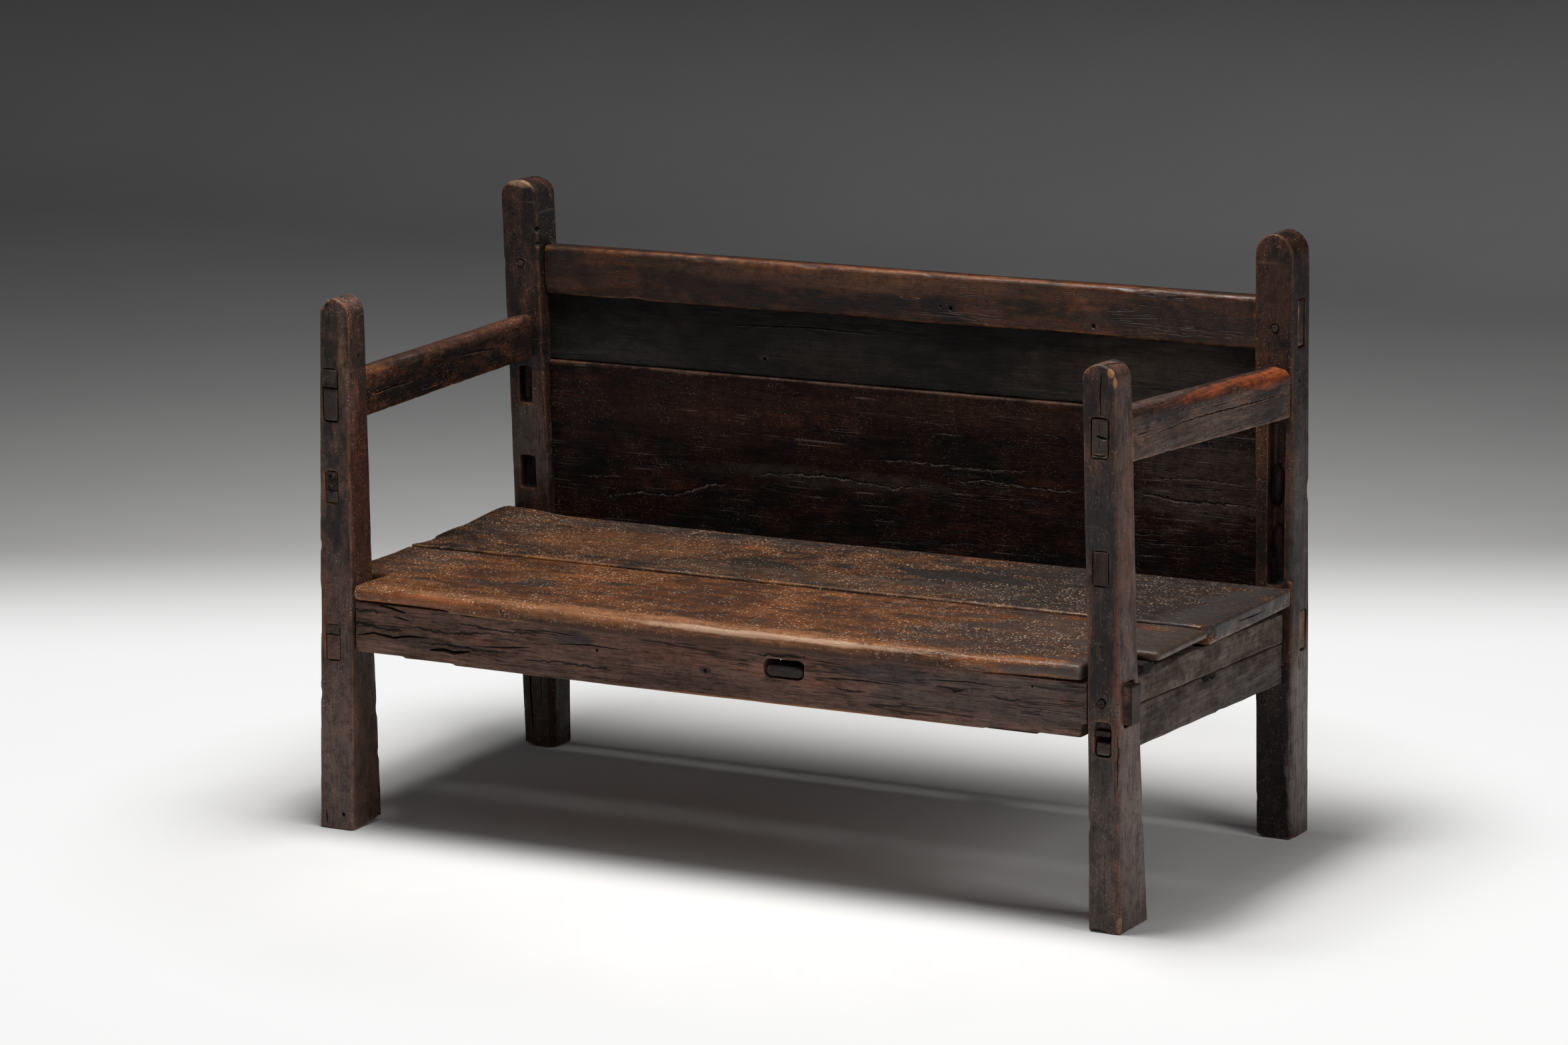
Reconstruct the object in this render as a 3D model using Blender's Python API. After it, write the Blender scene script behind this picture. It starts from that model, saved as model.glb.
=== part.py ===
"""An old joined bench of dark hardwood: four tapering posts, rails and arms tenoned into them, a crest
rail over two housed back boards, and two loose seat boards. Metres, +Z up, the front faces -Y."""

from dataclasses import dataclass
from math import atan2

import bmesh
import bpy
from mathutils import Matrix

# Overall sizes
LENGTH = 1.432  # over the outermost faces of the rear posts
DEPTH = 0.700  # from the seat's nose to the backs of the rear posts
SEAT_TOP = 0.402
NOSE_OVERHANG = 0.007  # of the seat past the front posts
GAP = 0.0003  # clearance on every side of a fitted joint
MIDDLE_Y = 0.0

# Posts: an inset is that of the outer face from the outermost face
FRONT_LEFT_HEIGHT = 0.853
FRONT_LEFT_FOOT_INSET = 0.024
FRONT_LEFT_HEAD_INSET = 0.045
FRONT_LEFT_FOOT_WIDTH = 0.065
FRONT_LEFT_SEAT_WIDTH = 0.0625
FRONT_LEFT_HEAD_WIDTH = 0.054
FRONT_LEFT_FOOT_DEPTH = 0.089
FRONT_LEFT_SEAT_DEPTH = 0.065
FRONT_LEFT_HEAD_DEPTH = 0.054
FRONT_LEFT_HEAD_RISE = 0.030
FRONT_RIGHT_HEIGHT = 0.846
FRONT_RIGHT_FOOT_INSET = 0.008
FRONT_RIGHT_HEAD_INSET = 0.021
FRONT_RIGHT_FOOT_WIDTH = 0.055
FRONT_RIGHT_SEAT_WIDTH = 0.0525
FRONT_RIGHT_HEAD_WIDTH = 0.057
FRONT_RIGHT_FOOT_DEPTH = 0.100
FRONT_RIGHT_SEAT_DEPTH = 0.072
FRONT_RIGHT_HEAD_DEPTH = 0.059
FRONT_RIGHT_HEAD_RISE = 0.024
REAR_LEFT_HEIGHT = 0.963
REAR_LEFT_FOOT_INSET = 0.029
REAR_LEFT_FOOT_WIDTH = 0.060
REAR_LEFT_WIDTH = 0.070
REAR_LEFT_FOOT_DEPTH = 0.063
REAR_LEFT_DEPTH = 0.065
REAR_LEFT_HEAD_RISE = 0.027
REAR_RIGHT_HEIGHT = 0.957
REAR_RIGHT_HEAD_INSET = 0.009
REAR_RIGHT_FOOT_WIDTH = 0.0625
REAR_RIGHT_SEAT_WIDTH = 0.065
REAR_RIGHT_HEAD_WIDTH = 0.067
REAR_RIGHT_FOOT_DEPTH = 0.073
REAR_RIGHT_DEPTH = 0.070
REAR_RIGHT_HEAD_RISE = 0.037

# Seat boards
FRONT_BOARD_THICKNESS = 0.028
REAR_BOARD_THICKNESS = 0.031
FRONT_BOARD_WIDTH = 0.312
SEAT_JOINT_GAP = 0.0008
SEAT_END_INSET = 0.004  # of the seat's ends from the outermost faces
SEAT_BACK_GAP = 0.001  # between the seat and the rear posts
NOSE_RADIUS = 0.012
SEAT_EDGE_RADIUS = 0.004
LEFT_NOTCH_GAP = 0.0025  # beside the front left post
RIGHT_NOTCH_GAP = 0.006
LEFT_NOTCH_SPARE = 0.036  # behind the front left post
RIGHT_NOTCH_SPARE = 0.048
THIN_END_LENGTH = 0.062  # of the front board's right end, thinned from below
THIN_END_THICKNESS = 0.016

# Front and rear seat rails
RAIL_SETBACK = 0.006  # of the front rail from the front posts' faces
FRONT_RAIL_THICKNESS = 0.058
FRONT_RAIL_LEFT_DEPTH = 0.081
FRONT_RAIL_RIGHT_DEPTH = 0.065
FRONT_TENON_SETBACK = 0.015  # from the rail's face
FRONT_TENON_THICKNESS = 0.036
FRONT_TENON_SHOULDER = 0.0015  # top shoulder
FRONT_TENON_RIGHT_DEPTH = 0.0635
FRONT_TENON_LEFT_DEPTH = 0.038
FRONT_TENON_LEFT_LENGTH = 0.045
REAR_RAIL_SETBACK = 0.009  # from the rear posts' faces
REAR_RAIL_THICKNESS = 0.052
REAR_RAIL_DEPTH = 0.080
REAR_TENON_SETBACK = 0.026
REAR_TENON_THICKNESS = 0.024
REAR_TENON_SHOULDER = 0.013
REAR_TENON_DEPTH = 0.063
FLUSH_RECESS = 0.001  # of a through tenon's end behind the post's face

# Side rails and the strip that packs the right one out
LEFT_RAIL_DEPTH = 0.100
LEFT_RAIL_THICKNESS = 0.038
LEFT_RAIL_INSET = 0.006  # from the post's outer face
RIGHT_RAIL_DEPTH = 0.066
RIGHT_RAIL_THICKNESS = 0.040
RIGHT_RAIL_INSET = 0.0045
RIGHT_RAIL_BELOW_SEAT = 0.0425  # its top edge under the boards, at the front
RIGHT_RAIL_FALL = 0.0165  # towards the back
STRIP_DEPTH = 0.046
SIDE_TENON_THICKNESS = 0.024
LEFT_SIDE_TENON_INSET = 0.024  # from the post's inner face
RIGHT_SIDE_TENON_INSET = 0.014
LEFT_SIDE_TENON_DEPTH = 0.041
LEFT_SIDE_TENON_SHOULDER = 0.0025
RIGHT_SIDE_TENON_DEPTH = 0.0215
RIGHT_SIDE_TENON_SHOULDER = 0.001
RIGHT_SIDE_MORTISE_DEPTH = 0.038  # taller than its tenon
SIDE_REAR_TENON_LENGTH = 0.030
RIGHT_REAR_TENON_DEPTH = 0.034

# Arms
LEFT_ARM_DEPTH = 0.076
RIGHT_ARM_DEPTH = 0.083
LEFT_ARM_WIDTH = 0.042
RIGHT_ARM_WIDTH = 0.043
LEFT_ARM_FRONT_TOP = 0.732
LEFT_ARM_REAR_TOP = 0.742
RIGHT_ARM_FRONT_TOP = 0.777
RIGHT_ARM_REAR_TOP = 0.753
LEFT_ARM_INSET = 0.008  # from the posts' outer faces
RIGHT_ARM_INSET = 0.002
ARM_OUTER_DROP = 0.006  # of the worn outer top edge
ARM_ROUND = 0.014
ARM_TENON_THICKNESS = 0.026
LEFT_ARM_TENON_INSET = 0.022  # from the post's inner face
RIGHT_ARM_TENON_INSET = 0.0145
LEFT_ARM_TENON_DEPTH = 0.053
RIGHT_ARM_TENON_DEPTH = 0.058
LEFT_ARM_TENON_SHOULDER = 0.002  # bottom shoulder
RIGHT_ARM_TENON_SHOULDER = 0.014
ARM_REAR_TENON_DEPTH = 0.054
ARM_REAR_TENON_SHOULDER = 0.010
ARM_REAR_TENON_LENGTH = 0.030
LEFT_REAR_TENON_INSET = 0.028
RIGHT_REAR_TENON_INSET = 0.025

# Back
CREST_TOP = 0.855
CREST_DEPTH = 0.083
CREST_THICKNESS = 0.040
CREST_SETBACK = 0.014  # from the rear posts' faces
CREST_ROUND = 0.008
CREST_TENON_THICKNESS = 0.025
CREST_TENON_SETBACK = 0.010
CREST_TENON_SHOULDER = 0.0025
CREST_TENON_DEPTH = 0.0745
LOWER_BOARD_TOP = 0.660
LOWER_BOARD_THICKNESS = 0.022
LOWER_BOARD_SETBACK = 0.024
UPPER_BOARD_THICKNESS = 0.016
UPPER_BOARD_SETBACK = 0.031
BOARD_TONGUE = 0.010  # of a board inside a rail
BOARD_HOUSING = 0.012  # of a board inside a post
HOUSING_SPARE = 0.0015

# Bearer under the middle of the seat
BEARER_X = 0.145
BEARER_WIDTH = 0.070
BEARER_DEPTH = 0.046
BEARER_TENON_DEPTH = 0.0175
BEARER_SLOT_DEPTH = 0.026
BEARER_CORNER = 0.0075
BEARER_TENON_RECESS = 0.004

# Pegs, wedges, plugs and empty mortises
CREST_PEG_DIAMETER = 0.012
LEFT_CREST_PEG_INSET = 0.037  # from the post's inner face
RIGHT_CREST_PEG_INSET = 0.035
LEFT_CREST_PEG_RISE = 0.051  # above the crest rail's lower edge
RIGHT_CREST_PEG_RISE = 0.037
RAIL_PEG_DIAMETER = 0.011
RAIL_PEG_INSET = 0.024
RAIL_PEG_DROP = 0.028  # below the front rail's top
RAIL_PEG_LENGTH = 0.068
PEG_SIDES = 20
ARM_WEDGE_DEPTH = 0.0275
ARM_WEDGE_THIN_END = 0.022
ARM_WEDGE_LENGTH = 0.045
SIDE_WEDGE_DEPTH = 0.0135
SIDE_WEDGE_THIN_END = 0.010
SIDE_WEDGE_LENGTH = 0.0175
RIGHT_WEDGE_DEPTH = 0.008
RIGHT_WEDGE_THIN_END = 0.005
RIGHT_WEDGE_LENGTH = 0.030
CHIP_RISE = 0.012  # above the right side rail's mortise
CHIP_DEPTH = 0.008
PLUG_WIDTH = 0.022
PLUG_DEPTH = 0.025
LEFT_PLUG_ABOVE_SEAT = 0.127
LEFT_PLUG_HEIGHT = 0.048
LEFT_PLUG_STEP = 0.017  # height of the part that is still flush
LEFT_PLUG_RECESS = 0.007
LEFT_PLUG_INSET = 0.0245
RIGHT_PLUG_ABOVE_SEAT = 0.119
RIGHT_PLUG_HEIGHT = 0.049
RIGHT_PLUG_INSET = 0.0145
EMPTY_MORTISE_DEPTH = 0.022
UPPER_MORTISE_ABOVE_SEAT = 0.188
UPPER_MORTISE_HEIGHT = 0.060
UPPER_MORTISE_WIDTH = 0.023
LOWER_MORTISE_ABOVE_SEAT = 0.043
LOWER_MORTISE_HEIGHT = 0.054
LOWER_MORTISE_WIDTH = 0.028
EMPTY_MORTISE_INSET = 0.026
LONG_MORTISE_WIDTH = 0.026
LONG_MORTISE_INSET = 0.022
LONG_MORTISE_ABOVE_SEAT = 0.004
LONG_MORTISE_HEIGHT = 0.256

# Wear
EDGE_WEAR = 0.0035  # rounding of the posts' edges
RAIL_WEAR = 0.003
FOOT_WEAR_RISE = 0.009  # under the back of the front left foot
FOOT_WEAR_START = 0.022  # behind that post's face
LEG_CHAMFER = 0.011
LEG_CHAMFER_TOP_GAP = 0.014  # below the rear rail
EDGE_CHAMFER = 0.010
EDGE_CHAMFER_TOP_GAP = 0.020  # below the right arm
EDGE_CHAMFER_BOTTOM_GAP = 0.012  # above the seat
OPEN = 0.020  # how far a cutter runs out of the wood

# Values that follow from the sizes
SEAT_UNDERSIDE = SEAT_TOP - FRONT_BOARD_THICKNESS
REACH = LENGTH / 2
NOSE_Y = MIDDLE_Y - DEPTH / 2
BACK_Y = MIDDLE_Y + DEPTH / 2
FRONT_FACE = NOSE_Y + NOSE_OVERHANG
BACK_FACE = BACK_Y - REAR_RIGHT_FOOT_DEPTH  # the rear posts' front faces
RAIL_TOP = SEAT_UNDERSIDE - GAP
CREST_BOTTOM = CREST_TOP - CREST_DEPTH
ARCH_STEPS = 6
CROWN_SHARE = 0.16  # of half a post's width, level at the top of its head


def between(low, high, share):
    """The value this share of the way from low to high."""
    return low + (high - low) * share


def span(start, length):
    """Low and high ends of a length that starts here, which may run backwards."""
    return (min(start, start + length), max(start, start + length))


def grown(ends, by=GAP):
    """The same span, longer by this much at each end."""
    return (ends[0] - by, ends[1] + by)


@dataclass(frozen=True)
class Post:
    """A post that tapers and leans a little: side is -1 on the left and 1 on the right."""

    side: int
    height: float
    foot_inset: float  # of the outer face, from the outermost face
    head_inset: float
    foot_width: float
    seat_width: float
    head_width: float
    foot_depth: float
    seat_depth: float
    head_depth: float
    head_rise: float
    rear: bool

    @property
    def spring(self):
        """Height at which the rounded head starts."""
        return self.height - self.head_rise

    def tapered(self, foot, seat, head, z):
        """A size at height z, straight between the foot, the seat and the head."""
        if z < SEAT_TOP:
            return between(foot, seat, z / SEAT_TOP)
        return between(seat, head, min(1, (z - SEAT_TOP) / (self.spring - SEAT_TOP)))

    def outer(self, z):
        inset = between(self.foot_inset, self.head_inset, min(1, z / self.spring))
        return self.side * (REACH - inset)

    def inner(self, z):
        return self.outer(z) - self.side * self.tapered(self.foot_width, self.seat_width, self.head_width, z)

    def inward(self, z, distance):
        """The x this far inside the post, measured from its inner face."""
        return self.inner(z) + self.side * distance

    def front(self):
        return BACK_FACE if self.rear else FRONT_FACE

    def back(self, z):
        return self.front() + self.tapered(self.foot_depth, self.seat_depth, self.head_depth, z)


FRONT_LEFT = Post(
    -1, FRONT_LEFT_HEIGHT, FRONT_LEFT_FOOT_INSET, FRONT_LEFT_HEAD_INSET,
    FRONT_LEFT_FOOT_WIDTH, FRONT_LEFT_SEAT_WIDTH, FRONT_LEFT_HEAD_WIDTH,
    FRONT_LEFT_FOOT_DEPTH, FRONT_LEFT_SEAT_DEPTH, FRONT_LEFT_HEAD_DEPTH, FRONT_LEFT_HEAD_RISE, False,
)
FRONT_RIGHT = Post(
    1, FRONT_RIGHT_HEIGHT, FRONT_RIGHT_FOOT_INSET, FRONT_RIGHT_HEAD_INSET,
    FRONT_RIGHT_FOOT_WIDTH, FRONT_RIGHT_SEAT_WIDTH, FRONT_RIGHT_HEAD_WIDTH,
    FRONT_RIGHT_FOOT_DEPTH, FRONT_RIGHT_SEAT_DEPTH, FRONT_RIGHT_HEAD_DEPTH, FRONT_RIGHT_HEAD_RISE, False,
)
REAR_LEFT = Post(
    -1, REAR_LEFT_HEIGHT, REAR_LEFT_FOOT_INSET, 0.0,
    REAR_LEFT_FOOT_WIDTH, REAR_LEFT_WIDTH, REAR_LEFT_WIDTH,
    REAR_LEFT_FOOT_DEPTH, REAR_LEFT_DEPTH, REAR_LEFT_DEPTH, REAR_LEFT_HEAD_RISE, True,
)
REAR_RIGHT = Post(
    1, REAR_RIGHT_HEIGHT, 0.0, REAR_RIGHT_HEAD_INSET,
    REAR_RIGHT_FOOT_WIDTH, REAR_RIGHT_SEAT_WIDTH, REAR_RIGHT_HEAD_WIDTH,
    REAR_RIGHT_FOOT_DEPTH, REAR_RIGHT_DEPTH, REAR_RIGHT_DEPTH, REAR_RIGHT_HEAD_RISE, True,
)


def collection(name, hidden=False):
    made = bpy.data.collections.new(name)
    made.hide_render = hidden
    bpy.context.scene.collection.children.link(made)
    return made


def wood(name, colour, roughness):
    """A plain finish with the piece's colour."""
    made = bpy.data.materials.new(name)
    made.use_nodes = True
    shader = made.node_tree.nodes["Principled BSDF"]
    shader.inputs["Base Color"].default_value = (*colour, 1)
    shader.inputs["Roughness"].default_value = roughness
    shader.inputs["Metallic"].default_value = 0.0
    made.diffuse_color = (*colour, 1)
    return made


def keep(name, bm, into, material=None):
    """Turns an edit mesh into an object of this collection. A cutter is drawn as wire and left out."""
    mesh = bpy.data.meshes.new(name)
    bm.to_mesh(mesh)
    bm.free()
    made = bpy.data.objects.new(name, mesh)
    into.objects.link(made)
    if material:
        mesh.materials.append(material)
        mesh.shade_smooth()
        mesh.set_sharp_from_angle(angle=0.5)
    else:
        made.hide_render = True
        made.display_type = "WIRE"
    return made


def block(x, y, z, back_x=None, back_z=None, right_z=None):
    """A cube sized to these spans. Other spans at its back or right end make it run askew or taper."""
    bm = bmesh.new()
    bmesh.ops.create_cube(bm, size=2)
    for vertex in bm.verts:
        right, back, top = (value > 0 for value in vertex.co)
        xs = back_x if back and back_x else x
        zs = back_z if back and back_z else right_z if right and right_z else z
        vertex.co = (xs[right], y[back], zs[top])
    return bm


def runs_along(edge, axis):
    """Whether an edge follows this axis more than the others."""
    way = edge.verts[1].co - edge.verts[0].co
    return abs(way[axis]) > 0.9 * way.length


def round_over(bm, axis, radius, segments, where=lambda middle: True):
    """Rounds the edges along an axis whose middle points pass a test."""
    edges = [e for e in bm.edges if runs_along(e, axis) and where((e.verts[0].co + e.verts[1].co) / 2)]
    bmesh.ops.bevel(bm, geom=edges, offset=radius, segments=segments, profile=0.5, affect="EDGES")
    return bm


def boolean(piece, other, operation):
    step = piece.modifiers.new(f"{operation.lower()} {other.name}", "BOOLEAN")
    step.object = other
    step.operation = operation
    step.solver = "EXACT"


def place_ring(verts, x, y, z, wear):
    """Puts a face's eight corners on a level rectangle with its corners cut off."""
    corners = [
        (x[0], y[0] + wear), (x[0] + wear, y[0]), (x[1] - wear, y[0]), (x[1], y[0] + wear),
        (x[1], y[1] - wear), (x[1] - wear, y[1]), (x[0] + wear, y[1]), (x[0], y[1] - wear),
    ]
    middle = sum((v.co for v in verts), verts[0].co * 0) / len(verts)
    for vertex, corner in zip(sorted(verts, key=lambda v: atan2(v.co.y - middle.y, v.co.x - middle.x)), corners):
        vertex.co = (*corner, z)


def post_rings(post, grow):
    """Level sections of a post from foot to head. The head is a half ellipse across its width."""
    for z in (0.0, SEAT_TOP, post.spring):
        x = sorted((post.outer(z), post.inner(z)))
        yield grown(x, grow), grown((post.front(), post.back(z)), grow), z - grow * (z == 0), EDGE_WEAR
    middle, half = (x[0] + x[1]) / 2, (x[1] - x[0]) / 2
    y = grown((post.front(), post.back(post.spring)), grow)
    for step in range(1, ARCH_STEPS):
        rise = 1 - (1 - step / ARCH_STEPS) ** 2
        reach = half * (1 - rise**2) ** 0.5
        ring_x = (middle - reach - grow, middle + reach + grow)
        yield ring_x, y, post.spring + rise * post.head_rise, min(EDGE_WEAR, reach * 0.6)
    crown = half * CROWN_SHARE
    ring_x = (middle - crown - grow, middle + crown + grow)
    yield ring_x, grown(y, -EDGE_WEAR / 2), post.height + grow, crown / 2


def post_mesh(post, grow=0.0):
    """Extrudes the top of an eight-sided prism from one section to the next."""
    bm = bmesh.new()
    bmesh.ops.create_cone(bm, cap_ends=True, segments=8, radius1=1, radius2=1, depth=2)
    rings = list(post_rings(post, grow))
    caps = sorted((face for face in bm.faces if len(face.verts) == 8), key=lambda face: face.calc_center_median().z)
    place_ring(list(caps[0].verts), *rings[0])
    top = caps[1]
    place_ring(list(top.verts), *rings[1])
    for ring in rings[2:]:
        top = bmesh.ops.extrude_discrete_faces(bm, faces=[top])["faces"][0]
        place_ring(list(top.verts), *ring)
    bmesh.ops.recalc_face_normals(bm, faces=bm.faces)
    return bm


class Bench:
    """Builds every timber, and cuts each mortise from the tenon that it takes."""

    def __init__(self):
        self.timbers = collection("joined_bench")
        self.cutters = collection("cutters", hidden=True)
        self.walnut = wood("post_timber", (0.050, 0.032, 0.026), 0.55)
        self.rail_wood = wood("rail_timber", (0.045, 0.029, 0.024), 0.60)
        self.arm_wood = wood("arm_timber", (0.085, 0.035, 0.022), 0.45)
        self.crest_wood = wood("crest_timber", (0.080, 0.042, 0.026), 0.45)
        self.upper_wood = wood("upper_board_timber", (0.022, 0.019, 0.018), 0.65)
        self.lower_wood = wood("lower_board_timber", (0.030, 0.017, 0.014), 0.60)
        self.seat_wood = wood("seat_timber", (0.100, 0.055, 0.034), 0.50)
        self.strip_wood = wood("packing_timber", (0.085, 0.070, 0.055), 0.70)
        self.peg_wood = wood("peg_timber", (0.090, 0.052, 0.036), 0.60)
        self.posts = {}
        self.envelopes = {}

    def piece(self, name, bm, material):
        return keep(name, bm, self.timbers, material)

    def cutter(self, name, bm):
        return keep(name, bm, self.cutters)

    def cut(self, piece, name, bm):
        boolean(piece, self.cutter(name, bm), "DIFFERENCE")

    def add(self, piece, name, bm):
        boolean(piece, self.cutter(name, bm), "UNION")

    def make_post(self, name, post):
        self.posts[post] = self.piece(name, post_mesh(post), self.walnut)
        self.envelopes[post] = self.cutter(f"{name}_envelope", post_mesh(post, GAP))

    def shoulder(self, rail, *posts):
        """Scribes a rail's ends to the posts that it meets."""
        for post in posts:
            boolean(rail, self.envelopes[post], "DIFFERENCE")

    def tenon(self, rail, post, name, x, y, z, through=None):
        """Adds a tenon to a rail and cuts its mortise. Through is the axis and side where it comes out."""
        self.add(rail, f"{name}_tenon", block(x, y, z))
        spans = [grown(x), grown(y), grown(z)]
        if through:
            axis, side = through
            low, high = spans[axis]
            spans[axis] = (low - OPEN, high) if side < 0 else (low, high + OPEN)
        self.cut(self.posts[post], f"{name}_mortise", block(*spans))

    def pocket(self, post, name, x, y, z):
        """Cuts a mortise that opens in a post's front face."""
        self.cut(self.posts[post], name, block(x, (post.front() - OPEN, y), z))

    def peg(self, name, x, y, z, diameter, *through):
        """A round peg along Y, and its hole in each of the pieces that it goes through."""
        turn = Matrix.Rotation(-1.5707963, 4, "X")
        move = Matrix.Translation((x, (y[0] + y[1]) / 2, z))
        for radius, length, hole in ((diameter / 2, y[1] - y[0], False), (diameter / 2 + GAP, y[1] - y[0], True)):
            bm = bmesh.new()
            bmesh.ops.create_cone(
                bm,
                cap_ends=True,
                segments=PEG_SIDES,
                radius1=radius,
                radius2=radius,
                depth=length + 2 * (GAP + hole * 0.001),
                matrix=move @ turn,
            )
            if not hole:
                self.piece(name, bm, self.peg_wood)
                continue
            drill = self.cutter(f"{name}_hole", bm)
            for piece in through:
                boolean(piece, drill, "DIFFERENCE")

    def make_posts(self):
        self.make_post("front_left_post", FRONT_LEFT)
        self.make_post("front_right_post", FRONT_RIGHT)
        self.make_post("rear_left_post", REAR_LEFT)
        self.make_post("rear_right_post", REAR_RIGHT)

    def make_front_rail(self):
        face = FRONT_FACE + RAIL_SETBACK
        ends = (FRONT_LEFT.outer(RAIL_TOP) / 2 + FRONT_LEFT.inner(RAIL_TOP) / 2,
                FRONT_RIGHT.outer(RAIL_TOP) / 2 + FRONT_RIGHT.inner(RAIL_TOP) / 2)
        bm = block(
            ends,
            span(face, FRONT_RAIL_THICKNESS),
            span(RAIL_TOP, -FRONT_RAIL_LEFT_DEPTH),
            right_z=span(RAIL_TOP, -FRONT_RAIL_RIGHT_DEPTH),
        )
        self.front_rail = self.piece("front_seat_rail", round_over(bm, 0, RAIL_WEAR, 2), self.rail_wood)
        self.shoulder(self.front_rail, FRONT_LEFT, FRONT_RIGHT)
        y = span(face + FRONT_TENON_SETBACK, FRONT_TENON_THICKNESS)
        top = RAIL_TOP - FRONT_TENON_SHOULDER
        right = (FRONT_RIGHT.inward(top, -OPEN), REACH)
        left = (FRONT_LEFT.inward(top, FRONT_TENON_LEFT_LENGTH), FRONT_LEFT.inward(top, -OPEN))
        self.tenon(self.front_rail, FRONT_RIGHT, "front_rail_right", right, y,
                   span(top, -FRONT_TENON_RIGHT_DEPTH), (0, 1))
        self.tenon(self.front_rail, FRONT_LEFT, "front_rail_left", left, y, span(top, -FRONT_TENON_LEFT_DEPTH))

    def make_rear_rail(self):
        face = REAR_LEFT.front() + REAR_RAIL_SETBACK
        middle = SEAT_UNDERSIDE - REAR_RAIL_DEPTH / 2
        ends = (REAR_LEFT.inward(middle, OPEN), REAR_RIGHT.inward(middle, OPEN))
        bm = block(ends, span(face, REAR_RAIL_THICKNESS), span(RAIL_TOP, -REAR_RAIL_DEPTH))
        self.rear_rail = self.piece("rear_seat_rail", round_over(bm, 0, RAIL_WEAR, 2), self.rail_wood)
        self.shoulder(self.rear_rail, REAR_LEFT, REAR_RIGHT)
        y = span(face + REAR_TENON_SETBACK, REAR_TENON_THICKNESS)
        z = span(RAIL_TOP - REAR_TENON_SHOULDER, -REAR_TENON_DEPTH)
        for post, name in ((REAR_LEFT, "rear_rail_left"), (REAR_RIGHT, "rear_rail_right")):
            x = sorted((post.inward(middle, -OPEN), post.outer(middle) - post.side * FLUSH_RECESS))
            self.tenon(self.rear_rail, post, name, x, y, z, (0, post.side))

    def side_rail(self, name, front, rear, x, front_z, rear_z):
        """A rail from the middle of a front post to the middle of the rear post behind it."""
        y = (front.back(front_z[0]) - OPEN, rear.front() + OPEN)
        bm = round_over(block(x, y, front_z, back_z=rear_z), 1, RAIL_WEAR, 2)
        rail = self.piece(name, bm, self.rail_wood)
        self.shoulder(rail, front, rear)
        return rail

    def make_left_side_rail(self):
        z = span(RAIL_TOP, -LEFT_RAIL_DEPTH)
        outer = FRONT_LEFT.outer(z[0]) + LEFT_RAIL_INSET
        rail = self.side_rail("left_side_rail", FRONT_LEFT, REAR_LEFT, span(outer, LEFT_RAIL_THICKNESS), z, z)
        x = span(FRONT_LEFT.inward(z[0], LEFT_SIDE_TENON_INSET), -SIDE_TENON_THICKNESS)
        tenon_z = span(z[0] + LEFT_SIDE_TENON_SHOULDER, LEFT_SIDE_TENON_DEPTH)
        y = (FRONT_FACE + FLUSH_RECESS, FRONT_LEFT.back(z[0]) + OPEN)
        self.tenon(rail, FRONT_LEFT, "left_side_front", x, y, tenon_z, (1, -1))
        y = (REAR_LEFT.front() - OPEN, REAR_LEFT.front() + SIDE_REAR_TENON_LENGTH)
        self.tenon(rail, REAR_LEFT, "left_side_rear", x, y, tenon_z)
        wedge_z = span(tenon_z[1] + GAP, SIDE_WEDGE_DEPTH)
        self.wedge("left_side_rail_wedge", FRONT_LEFT, x, wedge_z, SIDE_WEDGE_THIN_END, SIDE_WEDGE_LENGTH)

    def wedge(self, name, post, x, z, thin_end, length):
        """A wedge driven in above a tenon from the front, with room for it in the mortise."""
        y = span(FRONT_FACE, length)
        self.piece(name, block(x, y, z, back_z=span(z[0], thin_end)), self.peg_wood)
        self.pocket(post, f"{name}_room", grown(x), y[1] + GAP, (z[0] - 2 * GAP, z[1] + GAP))

    def make_right_side_rail(self):
        front_z = span(SEAT_UNDERSIDE - RIGHT_RAIL_BELOW_SEAT, -RIGHT_RAIL_DEPTH)
        rear_z = (front_z[0] - RIGHT_RAIL_FALL, front_z[1] - RIGHT_RAIL_FALL)
        outer = FRONT_RIGHT.outer(front_z[1]) - RIGHT_RAIL_INSET
        x = span(outer, -RIGHT_RAIL_THICKNESS)
        rail = self.side_rail("right_side_rail", FRONT_RIGHT, REAR_RIGHT, x, front_z, rear_z)
        tenon_x = span(FRONT_RIGHT.inward(front_z[0], RIGHT_SIDE_TENON_INSET), SIDE_TENON_THICKNESS)
        low = front_z[0] + RIGHT_SIDE_TENON_SHOULDER
        y = (FRONT_FACE + 2 * FLUSH_RECESS, FRONT_RIGHT.back(low) + OPEN)
        self.tenon(rail, FRONT_RIGHT, "right_side_front", tenon_x, y, span(low, RIGHT_SIDE_TENON_DEPTH), (1, -1))
        mortise_top = low + RIGHT_SIDE_MORTISE_DEPTH
        wedge_z = span(mortise_top - GAP, -RIGHT_WEDGE_DEPTH)
        self.wedge_in_tall_mortise(tenon_x, (low, mortise_top), wedge_z)
        y = (REAR_RIGHT.front() - OPEN, REAR_RIGHT.front() + SIDE_REAR_TENON_LENGTH)
        low = rear_z[0] + 2 * RIGHT_SIDE_TENON_SHOULDER
        self.tenon(rail, REAR_RIGHT, "right_side_rear", tenon_x, y, span(low, RIGHT_REAR_TENON_DEPTH))
        self.make_packing_strip(x, front_z[1] + GAP, rear_z[1] + GAP)

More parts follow.
